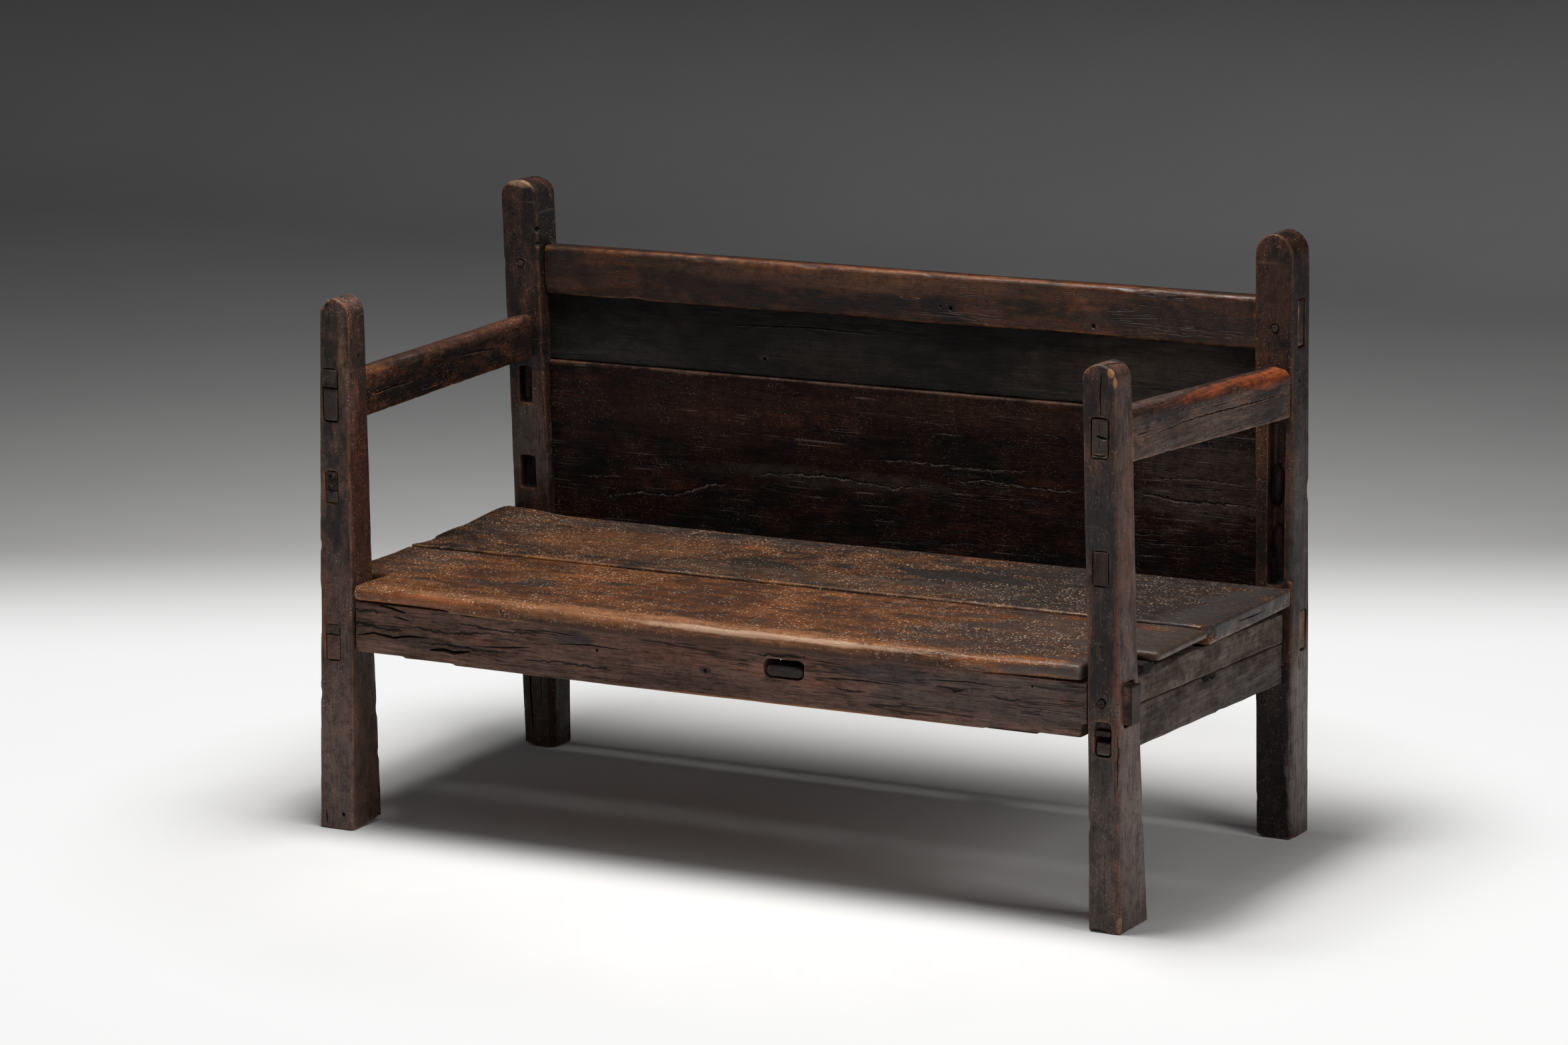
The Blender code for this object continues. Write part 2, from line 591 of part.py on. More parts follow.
    def wedge_in_tall_mortise(self, x, mortise_z, wedge_z):
        """The right side rail's mortise is taller than its tenon, with a gap and a wedge above it."""
        back = FRONT_RIGHT.back(mortise_z[1])
        self.pocket(FRONT_RIGHT, "right_side_mortise_top", grown(x), back + OPEN, mortise_z)
        y = span(FRONT_FACE + FLUSH_RECESS, RIGHT_WEDGE_LENGTH)
        thin = span(wedge_z[1], -RIGHT_WEDGE_THIN_END)
        self.piece("right_side_rail_wedge", block(x, y, wedge_z, back_z=thin), self.peg_wood)
        chip_z = span(mortise_z[1] - GAP, CHIP_RISE)
        self.pocket(FRONT_RIGHT, "right_side_mortise_chip", grown(x, -GAP), FRONT_FACE + CHIP_DEPTH, chip_z)

    def make_packing_strip(self, x, front_bottom, rear_bottom):
        y = (FRONT_RIGHT.back(front_bottom) - OPEN, REAR_RIGHT.front() + OPEN)
        bm = block(x, y, span(front_bottom, STRIP_DEPTH), back_z=span(rear_bottom, STRIP_DEPTH))
        strip = self.piece("right_packing_strip", bm, self.strip_wood)
        self.shoulder(strip, FRONT_RIGHT, REAR_RIGHT)

    def arm(self, name, front, rear, width, depth, inset, front_top, rear_top):
        """An arm between two posts, askew where they lean, with its top edges rounded by wear."""
        ends = []
        for post, top in ((front, front_top), (rear, rear_top)):
            outer = min(post.outer(top), post.outer(top - depth), key=abs) - post.side * inset
            ends.append(span(outer, -post.side * width))
        y = (front.back(front_top) - OPEN, rear.front() + OPEN)
        bm = block(
            ends[0], y, span(front_top, -depth), back_x=ends[1], back_z=span(rear_top, -depth)
        )
        for vertex in bm.verts:
            if vertex.co.x * front.side > max(abs(end[0] + end[1]) / 2 for end in ends):
                vertex.co.z -= ARM_OUTER_DROP * (vertex.co.z > min(front_top, rear_top) - depth / 2)
        lowest_top = min(front_top, rear_top) - depth / 2
        round_over(bm, 1, ARM_ROUND, 4, lambda middle: middle.z > lowest_top)
        round_over(bm, 1, RAIL_WEAR, 2, lambda middle: middle.z < lowest_top - depth / 4)
        made = self.piece(name, bm, self.arm_wood)
        self.shoulder(made, front, rear)
        return made

    def make_left_arm(self):
        arm = self.arm(
            "left_arm",
            FRONT_LEFT,
            REAR_LEFT,
            LEFT_ARM_WIDTH,
            LEFT_ARM_DEPTH,
            LEFT_ARM_INSET,
            LEFT_ARM_FRONT_TOP,
            LEFT_ARM_REAR_TOP,
        )
        low = LEFT_ARM_FRONT_TOP - LEFT_ARM_DEPTH + LEFT_ARM_TENON_SHOULDER
        x = span(FRONT_LEFT.inward(low, LEFT_ARM_TENON_INSET), -ARM_TENON_THICKNESS)
        z = span(low, LEFT_ARM_TENON_DEPTH)
        y = (FRONT_FACE + FLUSH_RECESS, FRONT_LEFT.back(low) + OPEN)
        self.tenon(arm, FRONT_LEFT, "left_arm_front", x, y, z, (1, -1))
        wedge_z = span(z[1] + GAP, ARM_WEDGE_DEPTH)
        self.wedge("left_arm_wedge", FRONT_LEFT, x, wedge_z, ARM_WEDGE_THIN_END, ARM_WEDGE_LENGTH)
        bottom = LEFT_ARM_REAR_TOP - LEFT_ARM_DEPTH
        self.arm_rear_tenon(arm, REAR_LEFT, "left_arm_rear", bottom, LEFT_REAR_TENON_INSET)

    def make_right_arm(self):
        arm = self.arm(
            "right_arm",
            FRONT_RIGHT,
            REAR_RIGHT,
            RIGHT_ARM_WIDTH,
            RIGHT_ARM_DEPTH,
            RIGHT_ARM_INSET,
            RIGHT_ARM_FRONT_TOP,
            RIGHT_ARM_REAR_TOP,
        )
        low = RIGHT_ARM_FRONT_TOP - RIGHT_ARM_DEPTH + RIGHT_ARM_TENON_SHOULDER
        x = span(FRONT_RIGHT.inward(low, RIGHT_ARM_TENON_INSET), ARM_TENON_THICKNESS)
        y = (FRONT_FACE + FLUSH_RECESS, FRONT_RIGHT.back(low) + OPEN)
        z = span(low, RIGHT_ARM_TENON_DEPTH)
        self.tenon(arm, FRONT_RIGHT, "right_arm_front", x, y, z, (1, -1))
        bottom = RIGHT_ARM_REAR_TOP - RIGHT_ARM_DEPTH
        self.arm_rear_tenon(arm, REAR_RIGHT, "right_arm_rear", bottom, RIGHT_REAR_TENON_INSET)

    def arm_rear_tenon(self, arm, post, name, bottom, inset):
        low = bottom + ARM_REAR_TENON_SHOULDER
        x = span(post.inward(low, inset), post.side * ARM_TENON_THICKNESS)
        y = (post.front() - OPEN, post.front() + ARM_REAR_TENON_LENGTH)
        self.tenon(arm, post, name, x, y, span(low, ARM_REAR_TENON_DEPTH))

    def make_crest_rail(self):
        face = REAR_LEFT.front() + CREST_SETBACK
        middle = CREST_TOP - CREST_DEPTH / 2
        ends = (REAR_LEFT.inward(middle, OPEN), REAR_RIGHT.inward(middle, OPEN))
        bm = block(ends, span(face, CREST_THICKNESS), (CREST_BOTTOM, CREST_TOP))
        round_over(bm, 0, CREST_ROUND, 3, lambda point: point.z > middle)
        round_over(bm, 0, RAIL_WEAR, 2, lambda point: point.z < middle - CREST_DEPTH / 4)
        self.crest = self.piece("crest_rail", bm, self.crest_wood)
        self.shoulder(self.crest, REAR_LEFT, REAR_RIGHT)
        y = span(face + CREST_TENON_SETBACK, CREST_TENON_THICKNESS)
        z = span(CREST_TOP - CREST_TENON_SHOULDER, -CREST_TENON_DEPTH)
        for post, name in ((REAR_LEFT, "crest_left"), (REAR_RIGHT, "crest_right")):
            x = sorted((post.inward(middle, -OPEN), post.outer(middle) - post.side * FLUSH_RECESS))
            self.tenon(self.crest, post, name, x, y, z, (0, post.side))

    def back_board(self, name, z, setback, thickness, material, rail):
        """A board with its ends housed in the rear posts and one long edge in a rail."""
        heights = [between(z[0], z[1], step / 4) for step in range(5)]
        x = (
            min(REAR_LEFT.inner(height) for height in heights) - BOARD_HOUSING,
            max(REAR_RIGHT.inner(height) for height in heights) + BOARD_HOUSING,
        )
        y = span(REAR_LEFT.front() + setback, thickness)
        self.piece(name, block(x, y, z), material)
        room = self.cutter(f"{name}_housing", block(grown(x, HOUSING_SPARE), grown(y), grown(z)))
        for piece in (self.posts[REAR_LEFT], self.posts[REAR_RIGHT], rail):
            boolean(piece, room, "DIFFERENCE")

    def make_back_boards(self):
        self.back_board(
            "lower_back_board",
            (RAIL_TOP - BOARD_TONGUE, LOWER_BOARD_TOP),
            LOWER_BOARD_SETBACK,
            LOWER_BOARD_THICKNESS,
            self.lower_wood,
            self.rear_rail,
        )
        self.back_board(
            "upper_back_board",
            (LOWER_BOARD_TOP + GAP, CREST_BOTTOM + BOARD_TONGUE),
            UPPER_BOARD_SETBACK,
            UPPER_BOARD_THICKNESS,
            self.upper_wood,
            self.crest,
        )

    def make_bearer(self):
        """A batten tenoned into slots in the front and rear rails, under the middle of the seat."""
        x = (BEARER_X - BEARER_WIDTH / 2, BEARER_X + BEARER_WIDTH / 2)
        front_face = FRONT_FACE + RAIL_SETBACK
        y = (
            front_face + FRONT_RAIL_THICKNESS + GAP,
            REAR_LEFT.front() + REAR_RAIL_SETBACK - GAP,
        )
        z = span(RAIL_TOP, -BEARER_DEPTH)
        bearer = self.piece("middle_seat_bearer", round_over(block(x, y, z), 1, RAIL_WEAR, 2), self.rail_wood)
        tenon_y = (front_face + BEARER_TENON_RECESS, y[1] + REAR_RAIL_THICKNESS / 2 - LOWER_BOARD_THICKNESS / 2)
        tenon_x = grown(x, -RAIL_WEAR)
        tenon_z = span(z[0] + GAP, BEARER_TENON_DEPTH)
        tongue = round_over(block(tenon_x, tenon_y, tenon_z), 1, BEARER_CORNER, 3)
        self.add(bearer, "bearer_tenons", tongue)
        slot_z = span(tenon_z[0] - GAP, BEARER_SLOT_DEPTH)
        slot_y = (front_face - OPEN, tenon_y[1] + GAP)
        slot = round_over(block(grown(tenon_x), slot_y, slot_z), 1, BEARER_CORNER, 3)
        cutter = self.cutter("bearer_slots", slot)
        boolean(self.front_rail, cutter, "DIFFERENCE")
        boolean(self.rear_rail, cutter, "DIFFERENCE")

    def seat_board(self, name, y, top, thickness):
        """A board across the whole seat, with its long edges eased."""
        x = (-REACH + SEAT_END_INSET, REACH - SEAT_END_INSET)
        bm = block(x, y, (top - thickness, top))
        if y[0] == NOSE_Y:
            round_over(bm, 0, NOSE_RADIUS, 5, lambda middle: middle.y < NOSE_Y + NOSE_RADIUS)
        round_over(bm, 0, SEAT_EDGE_RADIUS / 2, 2, lambda middle: middle.y > NOSE_Y + 2 * NOSE_RADIUS)
        return self.piece(name, bm, self.seat_wood)

    def make_seat(self):
        joint = NOSE_Y + FRONT_BOARD_WIDTH
        front = self.seat_board("front_seat_board", (NOSE_Y, joint), SEAT_TOP, FRONT_BOARD_THICKNESS)
        rear_y = (joint + SEAT_JOINT_GAP, REAR_LEFT.front() - SEAT_BACK_GAP)
        rear_top = SEAT_UNDERSIDE + REAR_BOARD_THICKNESS
        self.seat_board("rear_seat_board", rear_y, rear_top, REAR_BOARD_THICKNESS)
        deep = (SEAT_UNDERSIDE - OPEN, SEAT_TOP + OPEN)
        left_side = max(FRONT_LEFT.inner(SEAT_UNDERSIDE), FRONT_LEFT.inner(SEAT_TOP)) + LEFT_NOTCH_GAP
        right_side = min(FRONT_RIGHT.inner(SEAT_UNDERSIDE), FRONT_RIGHT.inner(SEAT_TOP)) - RIGHT_NOTCH_GAP
        left_back = FRONT_LEFT.back(SEAT_UNDERSIDE) + LEFT_NOTCH_SPARE
        right_back = FRONT_RIGHT.back(SEAT_UNDERSIDE) + RIGHT_NOTCH_SPARE
        self.cut(front, "left_notch", block((-REACH - OPEN, left_side), (NOSE_Y - OPEN, left_back), deep))
        self.cut(front, "right_notch", block((right_side, REACH + OPEN), (NOSE_Y - OPEN, right_back), deep))
        end = REACH - SEAT_END_INSET
        thin = SEAT_TOP - THIN_END_THICKNESS
        under = block(
            (end - THIN_END_LENGTH, end + OPEN),
            (right_back - OPEN, joint + OPEN),
            (SEAT_UNDERSIDE - OPEN, SEAT_UNDERSIDE + GAP),
            right_z=(SEAT_UNDERSIDE - OPEN, thin),
        )
        self.steepen(under, end - THIN_END_LENGTH + FRONT_BOARD_THICKNESS - THIN_END_THICKNESS, thin)
        self.cut(front, "thinned_end", under)

    def steepen(self, bm, x, z):
        """Adds a ridge at x, so that the cutter rises quickly to z and then runs level."""
        whole = bm.verts[:] + bm.edges[:] + bm.faces[:]
        ridge = bmesh.ops.bisect_plane(bm, geom=whole, plane_co=(x, 0, 0), plane_no=(1, 0, 0))
        made = [v for v in ridge["geom_cut"] if isinstance(v, bmesh.types.BMVert)]
        highest = max(vertex.co.z for vertex in made)
        for vertex in made:
            if vertex.co.z > highest - GAP:
                vertex.co.z = z

    def make_pegs(self):
        for side, post, inset, rise in (
            ("left", REAR_LEFT, LEFT_CREST_PEG_INSET, LEFT_CREST_PEG_RISE),
            ("right", REAR_RIGHT, RIGHT_CREST_PEG_INSET, RIGHT_CREST_PEG_RISE),
        ):
            z = CREST_BOTTOM + rise
            y = (post.front(), post.back(z) - GAP)
            self.peg(f"crest_peg_{side}", post.inward(z, inset), y, z, CREST_PEG_DIAMETER, self.posts[post], self.crest)
        z = RAIL_TOP - RAIL_PEG_DROP
        y = span(FRONT_FACE, RAIL_PEG_LENGTH)
        x = FRONT_RIGHT.inward(z, RAIL_PEG_INSET)
        self.peg("front_rail_peg", x, y, z, RAIL_PEG_DIAMETER, self.posts[FRONT_RIGHT], self.front_rail)

    def make_plugs(self):
        """Old mortises in the front posts, filled with blocks. The left block has broken short at its top."""
        z = span(SEAT_TOP + LEFT_PLUG_ABOVE_SEAT, LEFT_PLUG_HEIGHT)
        x = span(FRONT_LEFT.inward(z[0], LEFT_PLUG_INSET), -PLUG_WIDTH)
        y = (FRONT_FACE + LEFT_PLUG_RECESS, FRONT_FACE + PLUG_DEPTH)
        plug = self.piece("front_left_mortise_plug", block(x, y, z), self.peg_wood)
        self.add(plug, "left_plug_face", block(x, (FRONT_FACE + GAP, y[1]), span(z[0], LEFT_PLUG_STEP)))
        self.pocket(FRONT_LEFT, "left_plug_mortise", grown(x), y[1] + GAP, grown(z))
        z = span(SEAT_TOP + RIGHT_PLUG_ABOVE_SEAT, RIGHT_PLUG_HEIGHT)
        x = span(FRONT_RIGHT.inward(z[0], RIGHT_PLUG_INSET), PLUG_WIDTH)
        y = (FRONT_FACE + GAP, FRONT_FACE + PLUG_DEPTH)
        self.piece("front_right_mortise_plug", block(x, y, z), self.peg_wood)
        self.pocket(FRONT_RIGHT, "right_plug_mortise", grown(x), y[1] + GAP, grown(z))

    def cut_empty_mortises(self):
        bottom = REAR_LEFT.front() + EMPTY_MORTISE_DEPTH
        for name, above, height, width in (
            ("upper", UPPER_MORTISE_ABOVE_SEAT, UPPER_MORTISE_HEIGHT, UPPER_MORTISE_WIDTH),
            ("lower", LOWER_MORTISE_ABOVE_SEAT, LOWER_MORTISE_HEIGHT, LOWER_MORTISE_WIDTH),
        ):
            z = span(SEAT_TOP + above, height)
            x = span(REAR_LEFT.inward(z[0], EMPTY_MORTISE_INSET), -width)
            self.pocket(REAR_LEFT, f"{name}_empty_mortise", x, bottom, z)
        z = span(SEAT_TOP + LONG_MORTISE_ABOVE_SEAT, LONG_MORTISE_HEIGHT)
        x = span(REAR_RIGHT.inward(z[0], LONG_MORTISE_INSET), LONG_MORTISE_WIDTH)
        self.pocket(REAR_RIGHT, "long_empty_mortise", x, bottom, z)

    def wear_posts(self):
        """The front left foot has lost wood at its back, and two legs have a chamfered corner."""
        foot_x = (-REACH - OPEN, FRONT_LEFT.inner(0) + OPEN)
        y = (FRONT_FACE + FOOT_WEAR_START, FRONT_LEFT.back(0) + OPEN)
        under = block(foot_x, y, (-OPEN, GAP / 3), back_z=(-OPEN, FOOT_WEAR_RISE))
        self.cut(self.posts[FRONT_LEFT], "worn_foot", under)
        leg_top = RAIL_TOP - REAR_RAIL_DEPTH - LEG_CHAMFER_TOP_GAP
        self.chamfer(REAR_LEFT, "leg_chamfer", REAR_LEFT.inner(leg_top / 2), LEG_CHAMFER, (-OPEN, leg_top))
        edge_top = RIGHT_ARM_REAR_TOP - RIGHT_ARM_DEPTH - EDGE_CHAMFER_TOP_GAP
        edge = (SEAT_TOP + EDGE_CHAMFER_BOTTOM_GAP, edge_top)
        self.chamfer(REAR_RIGHT, "edge_chamfer", REAR_RIGHT.outer(sum(edge) / 2), EDGE_CHAMFER, edge)

    def chamfer(self, post, name, x, size, z):
        """Cuts a front corner of a post between two heights with a square bar set on edge."""
        bm = block((-size, size), (-size, size), z)
        half_turn = Matrix.Rotation(0.7853982, 4, "Z")
        corner = Matrix.Translation((x, post.front(), 0))
        bmesh.ops.transform(bm, matrix=corner @ half_turn @ Matrix.Diagonal((0.7071, 0.7071, 1, 1)), verts=bm.verts)
        self.cut(self.posts[post], name, bm)

    def make(self):
        self.make_posts()
        self.make_front_rail()
        self.make_rear_rail()
        self.make_left_side_rail()
        self.make_right_side_rail()
        self.make_left_arm()
        self.make_right_arm()
        self.make_crest_rail()
        self.make_back_boards()
        self.make_bearer()
        self.make_seat()
        self.make_pegs()
        self.make_plugs()
        self.cut_empty_mortises()
        self.wear_posts()


for old in list(bpy.data.objects):
    bpy.data.objects.remove(old, do_unlink=True)
Bench().make()
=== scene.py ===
"""Dresses the joined bench: worn timbers with their cracks, nicks and pegs, waxed and dry wood finishes,
a pale floor and soft light. Metres, +Z up, the front faces -Y."""

import logging
import math
import random
from dataclasses import dataclass, field, replace
from enum import Enum
from typing import Callable

import bmesh
import bpy
from mathutils import Matrix, Vector


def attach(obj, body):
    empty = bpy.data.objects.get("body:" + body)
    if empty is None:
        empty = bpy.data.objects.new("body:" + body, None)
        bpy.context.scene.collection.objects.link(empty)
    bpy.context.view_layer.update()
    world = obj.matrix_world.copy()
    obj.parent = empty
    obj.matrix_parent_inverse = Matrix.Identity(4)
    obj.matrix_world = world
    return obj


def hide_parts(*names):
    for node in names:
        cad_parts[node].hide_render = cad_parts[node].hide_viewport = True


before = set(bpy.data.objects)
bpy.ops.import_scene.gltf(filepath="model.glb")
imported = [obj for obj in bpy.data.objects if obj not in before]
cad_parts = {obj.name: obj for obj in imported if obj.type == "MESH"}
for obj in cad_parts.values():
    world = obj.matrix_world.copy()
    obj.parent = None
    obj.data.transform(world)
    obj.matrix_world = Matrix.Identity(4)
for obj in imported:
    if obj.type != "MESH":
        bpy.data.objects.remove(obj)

logging.basicConfig(level=logging.INFO, format="%(message)s")
log = logging.getLogger("bench")

Colour = tuple[float, float, float]
Point = tuple[float, float, float]
Spot = tuple[float, float]
Block = tuple[Point, Point]

# Ways that a face looks
FRONT: Point = (0, -1, 0)
RIGHT: Point = (1, 0, 0)
UP: Point = (0, 0, 1)

# Limits for finding faces and edges
SAME_WAY = 0.97
LONG_EDGE = 0.05
SHARP_EDGE = 0.5
MERGE_DISTANCE = 0.00002
FLAT_ANGLE = math.radians(0.5)
SMOOTH_ANGLE = math.radians(50)

# Cracks: spacing of their points, how far the blade stands out of the face, and the share of its width
# that is left at the bottom
CRACK_STEP = 0.011
BLADE_PROUD = 0.006
BLADE_FOOT = 0.3

# How far the painted line of a crack strays, where it is only drawn and where it is cut as well
DRAWN_STRAY = 0.014
CUT_STRAY = 0.003

# Nicks: the range of their sizes, and of their lengths and their distances from the edge in sizes
NICK_SIZES = (0.0025, 0.006)
NICK_LENGTHS = (1.5, 5)
NICK_OFFSETS = (0.35, 0.75)


class Grain(Enum):
    """The axis that a timber's grain follows."""

    ALONG_X = 0
    ALONG_Y = 1
    ALONG_Z = 2


# Editing tools


def deselect() -> None:
    """Leaves edit mode with nothing selected."""
    if bpy.context.object and bpy.context.object.mode == "EDIT":
        bpy.ops.object.mode_set(mode="OBJECT")
    bpy.ops.object.select_all(action="DESELECT")


def choose(piece: bpy.types.Object) -> None:
    """Makes one object the only selected and the active one.

    Args:
        piece: The object.
    """
    deselect()
    piece.select_set(True)
    bpy.context.view_layer.objects.active = piece


def settle(piece: bpy.types.Object) -> bpy.types.Object:
    """Puts a piece's place and turn into its mesh.

    Args:
        piece: The mesh object.

    Returns:
        The same object.
    """
    choose(piece)
    bpy.ops.object.transform_apply(location=True, rotation=True, scale=True)
    return piece


def select_faces(piece: bpy.types.Object, test: Callable[[Vector, Vector], bool]) -> None:
    """Selects, in edit mode, the faces that pass a test.

    Args:
        piece: The mesh object.
        test: Takes a face's centre and normal.
    """
    choose(piece)
    bpy.ops.object.mode_set(mode="EDIT")
    bpy.ops.mesh.select_all(action="DESELECT")
    mesh = bmesh.from_edit_mesh(piece.data)
    for face in mesh.faces:
        face.select_set(test(face.calc_center_median(), face.normal))
    mesh.select_flush_mode()
    bmesh.update_edit_mesh(piece.data)


def select_edges(piece: bpy.types.Object, test: Callable[[Vector, Vector], bool]) -> None:
    """Selects, in edit mode, the edges that pass a test.

    Args:
        piece: The mesh object.
        test: Takes an edge's middle and its unit direction.
    """
    choose(piece)
    bpy.ops.object.mode_set(mode="EDIT")
    bpy.ops.mesh.select_mode(type="EDGE")
    bpy.ops.mesh.select_all(action="DESELECT")
    mesh = bmesh.from_edit_mesh(piece.data)
    for edge in mesh.edges:
        start, end = (vertex.co for vertex in edge.verts)
        edge.select_set(test((start + end) / 2, (end - start).normalized()))
    bmesh.update_edit_mesh(piece.data)


def apply(piece: bpy.types.Object, kind: str, **settings: object) -> None:
    """Adds a modifier with these settings and applies it.

    Args:
        piece: The mesh object.
        kind: The modifier's type.
        settings: Its properties.
    """
    choose(piece)
    step = piece.modifiers.new(kind.lower(), kind)
    for name, value in settings.items():
        setattr(step, name, value)
    bpy.ops.object.modifier_apply(modifier=step.name)


def box(name: str, low: Point, high: Point) -> bpy.types.Object:
    """Adds a cube at its size and place.

    Args:
        name: The object's name.
        low: Its lowest corner.
        high: Its highest corner.

    Returns:
        The object.
    """
    deselect()
    size = [b - a for a, b in zip(low, high)]
    middle = [(a + b) / 2 for a, b in zip(low, high)]
    bpy.ops.mesh.primitive_cube_add(size=1, location=middle, scale=size)
    bpy.context.object.name = name
    return settle(bpy.context.object)


def join(pieces: list[bpy.types.Object], name: str) -> bpy.types.Object:
    """Joins objects into one, and names it.

    Args:
        pieces: The objects. The first keeps its place.
        name: The name of the whole.

    Returns:
        The whole.
    """
    deselect()
    for piece in pieces:
        piece.select_set(True)
    bpy.context.view_layer.objects.active = pieces[0]
    if len(pieces) > 1:
        bpy.ops.object.join()
    pieces[0].name = name
    return pieces[0]


def cut(
    piece: bpy.types.Object, cutters: list[bpy.types.Object], inside: bpy.types.Material | None = None
) -> None:
    """Takes cutters that are clear of each other out of a piece, and removes them.

    Args:
        piece: The mesh object.
        cutters: The cutters.
        inside: The material of the faces that they leave.
    """
    if not cutters:
        return
    tool = join(cutters, "cutter")
    if inside:
        tool.data.materials.append(inside)
    apply(piece, "BOOLEAN", operation="DIFFERENCE", solver="EXACT", object=tool, material_mode="TRANSFER")
    bpy.data.objects.remove(tool, do_unlink=True)


# Blocks that fill what the solids leave open


def mortise_block(
    left: float, right: float, low: float, high: float, front: float = -0.3428, back: float = -0.32
) -> Block:
    """Returns the block that closes a front post's mortise round what stands in it."""
    return (left, front, low), (right, back, high)


def stepped_blocks(
    places: tuple[float, ...], lows: tuple[float, ...], front: float, back: float, top: float
) -> tuple[Block, ...]:
    """Returns blocks side by side along the bench, each down to its own height.

    Args:
        places: Where the blocks start and end, from left to right.
        lows: Height of each block's underside.
        front: Y of their front.
        back: Y of their back.
        top: Height of their top.

    Returns:
        The lowest and highest corner of each block.
    """
    rows = zip(places, places[1:], lows)
    return tuple(((start, front, low), (end, back, top)) for start, end, low in rows)


# Marks of use


@dataclass(frozen=True)
class Gouge:
    """A hollow of a stretched ball's shape.

    Attributes:
        at: Its centre.
        radii: Half its size along X, Y and Z before it is turned.
        turn: Rotation in degrees about X, Y and Z.
    """

    at: Point
    radii: Point
    turn: Point = (0, 0, 0)

    def cutter(self) -> bpy.types.Object:
        """Makes the ball that cuts it.

        Returns:
            The ball.
        """
        deselect()
        turn = [math.radians(angle) for angle in self.turn]
        bpy.ops.mesh.primitive_ico_sphere_add(
            subdivisions=3, radius=1, location=self.at, rotation=turn, scale=self.radii
        )
        return settle(bpy.context.object)


@dataclass(frozen=True)
class Crack:
    """A split that follows a line of points on a face.

    Attributes:
        points: The line, on the face.
        width: Its greatest width. It closes towards its ends.
        depth: How deep it goes. At 0 it is only drawn by the finish.
        normal: Outward direction of the face.
        jitter: How far the line wanders from the points.
    """

    points: tuple[Point, ...]
    width: float
    depth: float
    normal: Point
    jitter: float = 0.0003

    def line(self) -> list[Vector]:
        """Adds points between the given ones, which wander a little.

        Returns:
            All the points.
        """
        chance = random.Random(round(sum(map(sum, self.points)) * 1e4))
        first, last = Vector(self.points[0]), Vector(self.points[-1])
        side = (last - first).cross(Vector(self.normal)).normalized()
        made: list[Vector] = []
        for start, end in zip(self.points, self.points[1:]):
            a, b = Vector(start), Vector(end)
            steps = max(2, round((b - a).length / CRACK_STEP))
            made += [
                a.lerp(b, step / steps) + side * chance.uniform(-self.jitter, self.jitter)
                for step in range(steps)
            ]
        return made + [last]

    def cutter(self) -> bpy.types.Object:
        """Makes the blade that cuts it, as a cube cut into lengths along the line.

        Returns:
            The blade.
        """
        line = self.line()
        deselect()
        bpy.ops.mesh.primitive_cube_add(size=1)
        blade = bpy.context.object
        select_edges(blade, lambda middle, way: abs(way.x) > 0.9)
        bpy.ops.mesh.subdivide(number_cuts=len(line) - 2)
        bpy.ops.object.mode_set(mode="OBJECT")
        normal = Vector(self.normal)
        last = len(line) - 1
        for vertex in blade.data.vertices:
            index = round((vertex.co.x + 0.5) * last)
            ahead = line[min(index + 1, last)] - line[max(index - 1, 0)]
            side = ahead.cross(normal).normalized()
            share = math.sin(math.pi * (index + 0.35) / (last + 0.7)) ** 0.6
            half = self.width / 2 * share
            if vertex.co.z > 0:
                vertex.co = line[index] + side * math.copysign(half, vertex.co.y) + normal * BLADE_PROUD
            else:
                deep = self.depth * (0.35 + 0.65 * share)
                foot = side * math.copysign(half * BLADE_FOOT, vertex.co.y)
                vertex.co = line[index] + foot - normal * deep
        choose(blade)
        bpy.ops.object.mode_set(mode="EDIT")
        bpy.ops.mesh.select_all(action="SELECT")
        bpy.ops.mesh.normals_make_consistent(inside=False)
        bpy.ops.object.mode_set(mode="OBJECT")
        return blade


@dataclass(frozen=True)
class Warp:
    """A smooth pull on the surface round a point.

    Attributes:
        at: The point.
        reach: How far the pull goes.
        move: The move at the point.
    """

    at: Point
    reach: float
    move: Point

    def pull(self, piece: bpy.types.Object) -> None:
        """Moves the mesh, less and less away from the point.

        Args:
            piece: The mesh object.
        """
        centre = Vector(self.at)
        nearest = min(piece.data.vertices, key=lambda vertex: (vertex.co - centre).length_squared).index
        choose(piece)
        bpy.ops.object.mode_set(mode="EDIT")
        bpy.ops.mesh.select_mode(type="VERT")
        bpy.ops.mesh.select_all(action="DESELECT")
        mesh = bmesh.from_edit_mesh(piece.data)
        mesh.verts.ensure_lookup_table()
        mesh.verts[nearest].select_set(True)
        bmesh.update_edit_mesh(piece.data)
        bpy.ops.transform.translate(
            value=self.move, use_proportional_edit=True, proportional_edit_falloff="SMOOTH",
            proportional_size=self.reach,
        )
        bpy.ops.object.mode_set(mode="OBJECT")


@dataclass(frozen=True)
class Hole:
    """A nail's or beetle's hole.

    Attributes:
        at: Its centre, on the face.
        normal: Outward direction of the face.
        radius: Its radius.
        depth: How deep it goes.
    """

    at: Point
    normal: Point
    radius: float
    depth: float = 0.012

    def cutter(self) -> bpy.types.Object:
        """Makes the drill that cuts it.

        Returns:
            The drill.
        """
        deselect()
        turn = Vector(self.normal).to_track_quat("Z", "Y").to_euler()
        bpy.ops.mesh.primitive_cone_add(
            vertices=12, radius1=self.radius * 0.5, radius2=self.radius, depth=self.depth * 2,
            location=self.at, rotation=turn,
        )
        return settle(bpy.context.object)


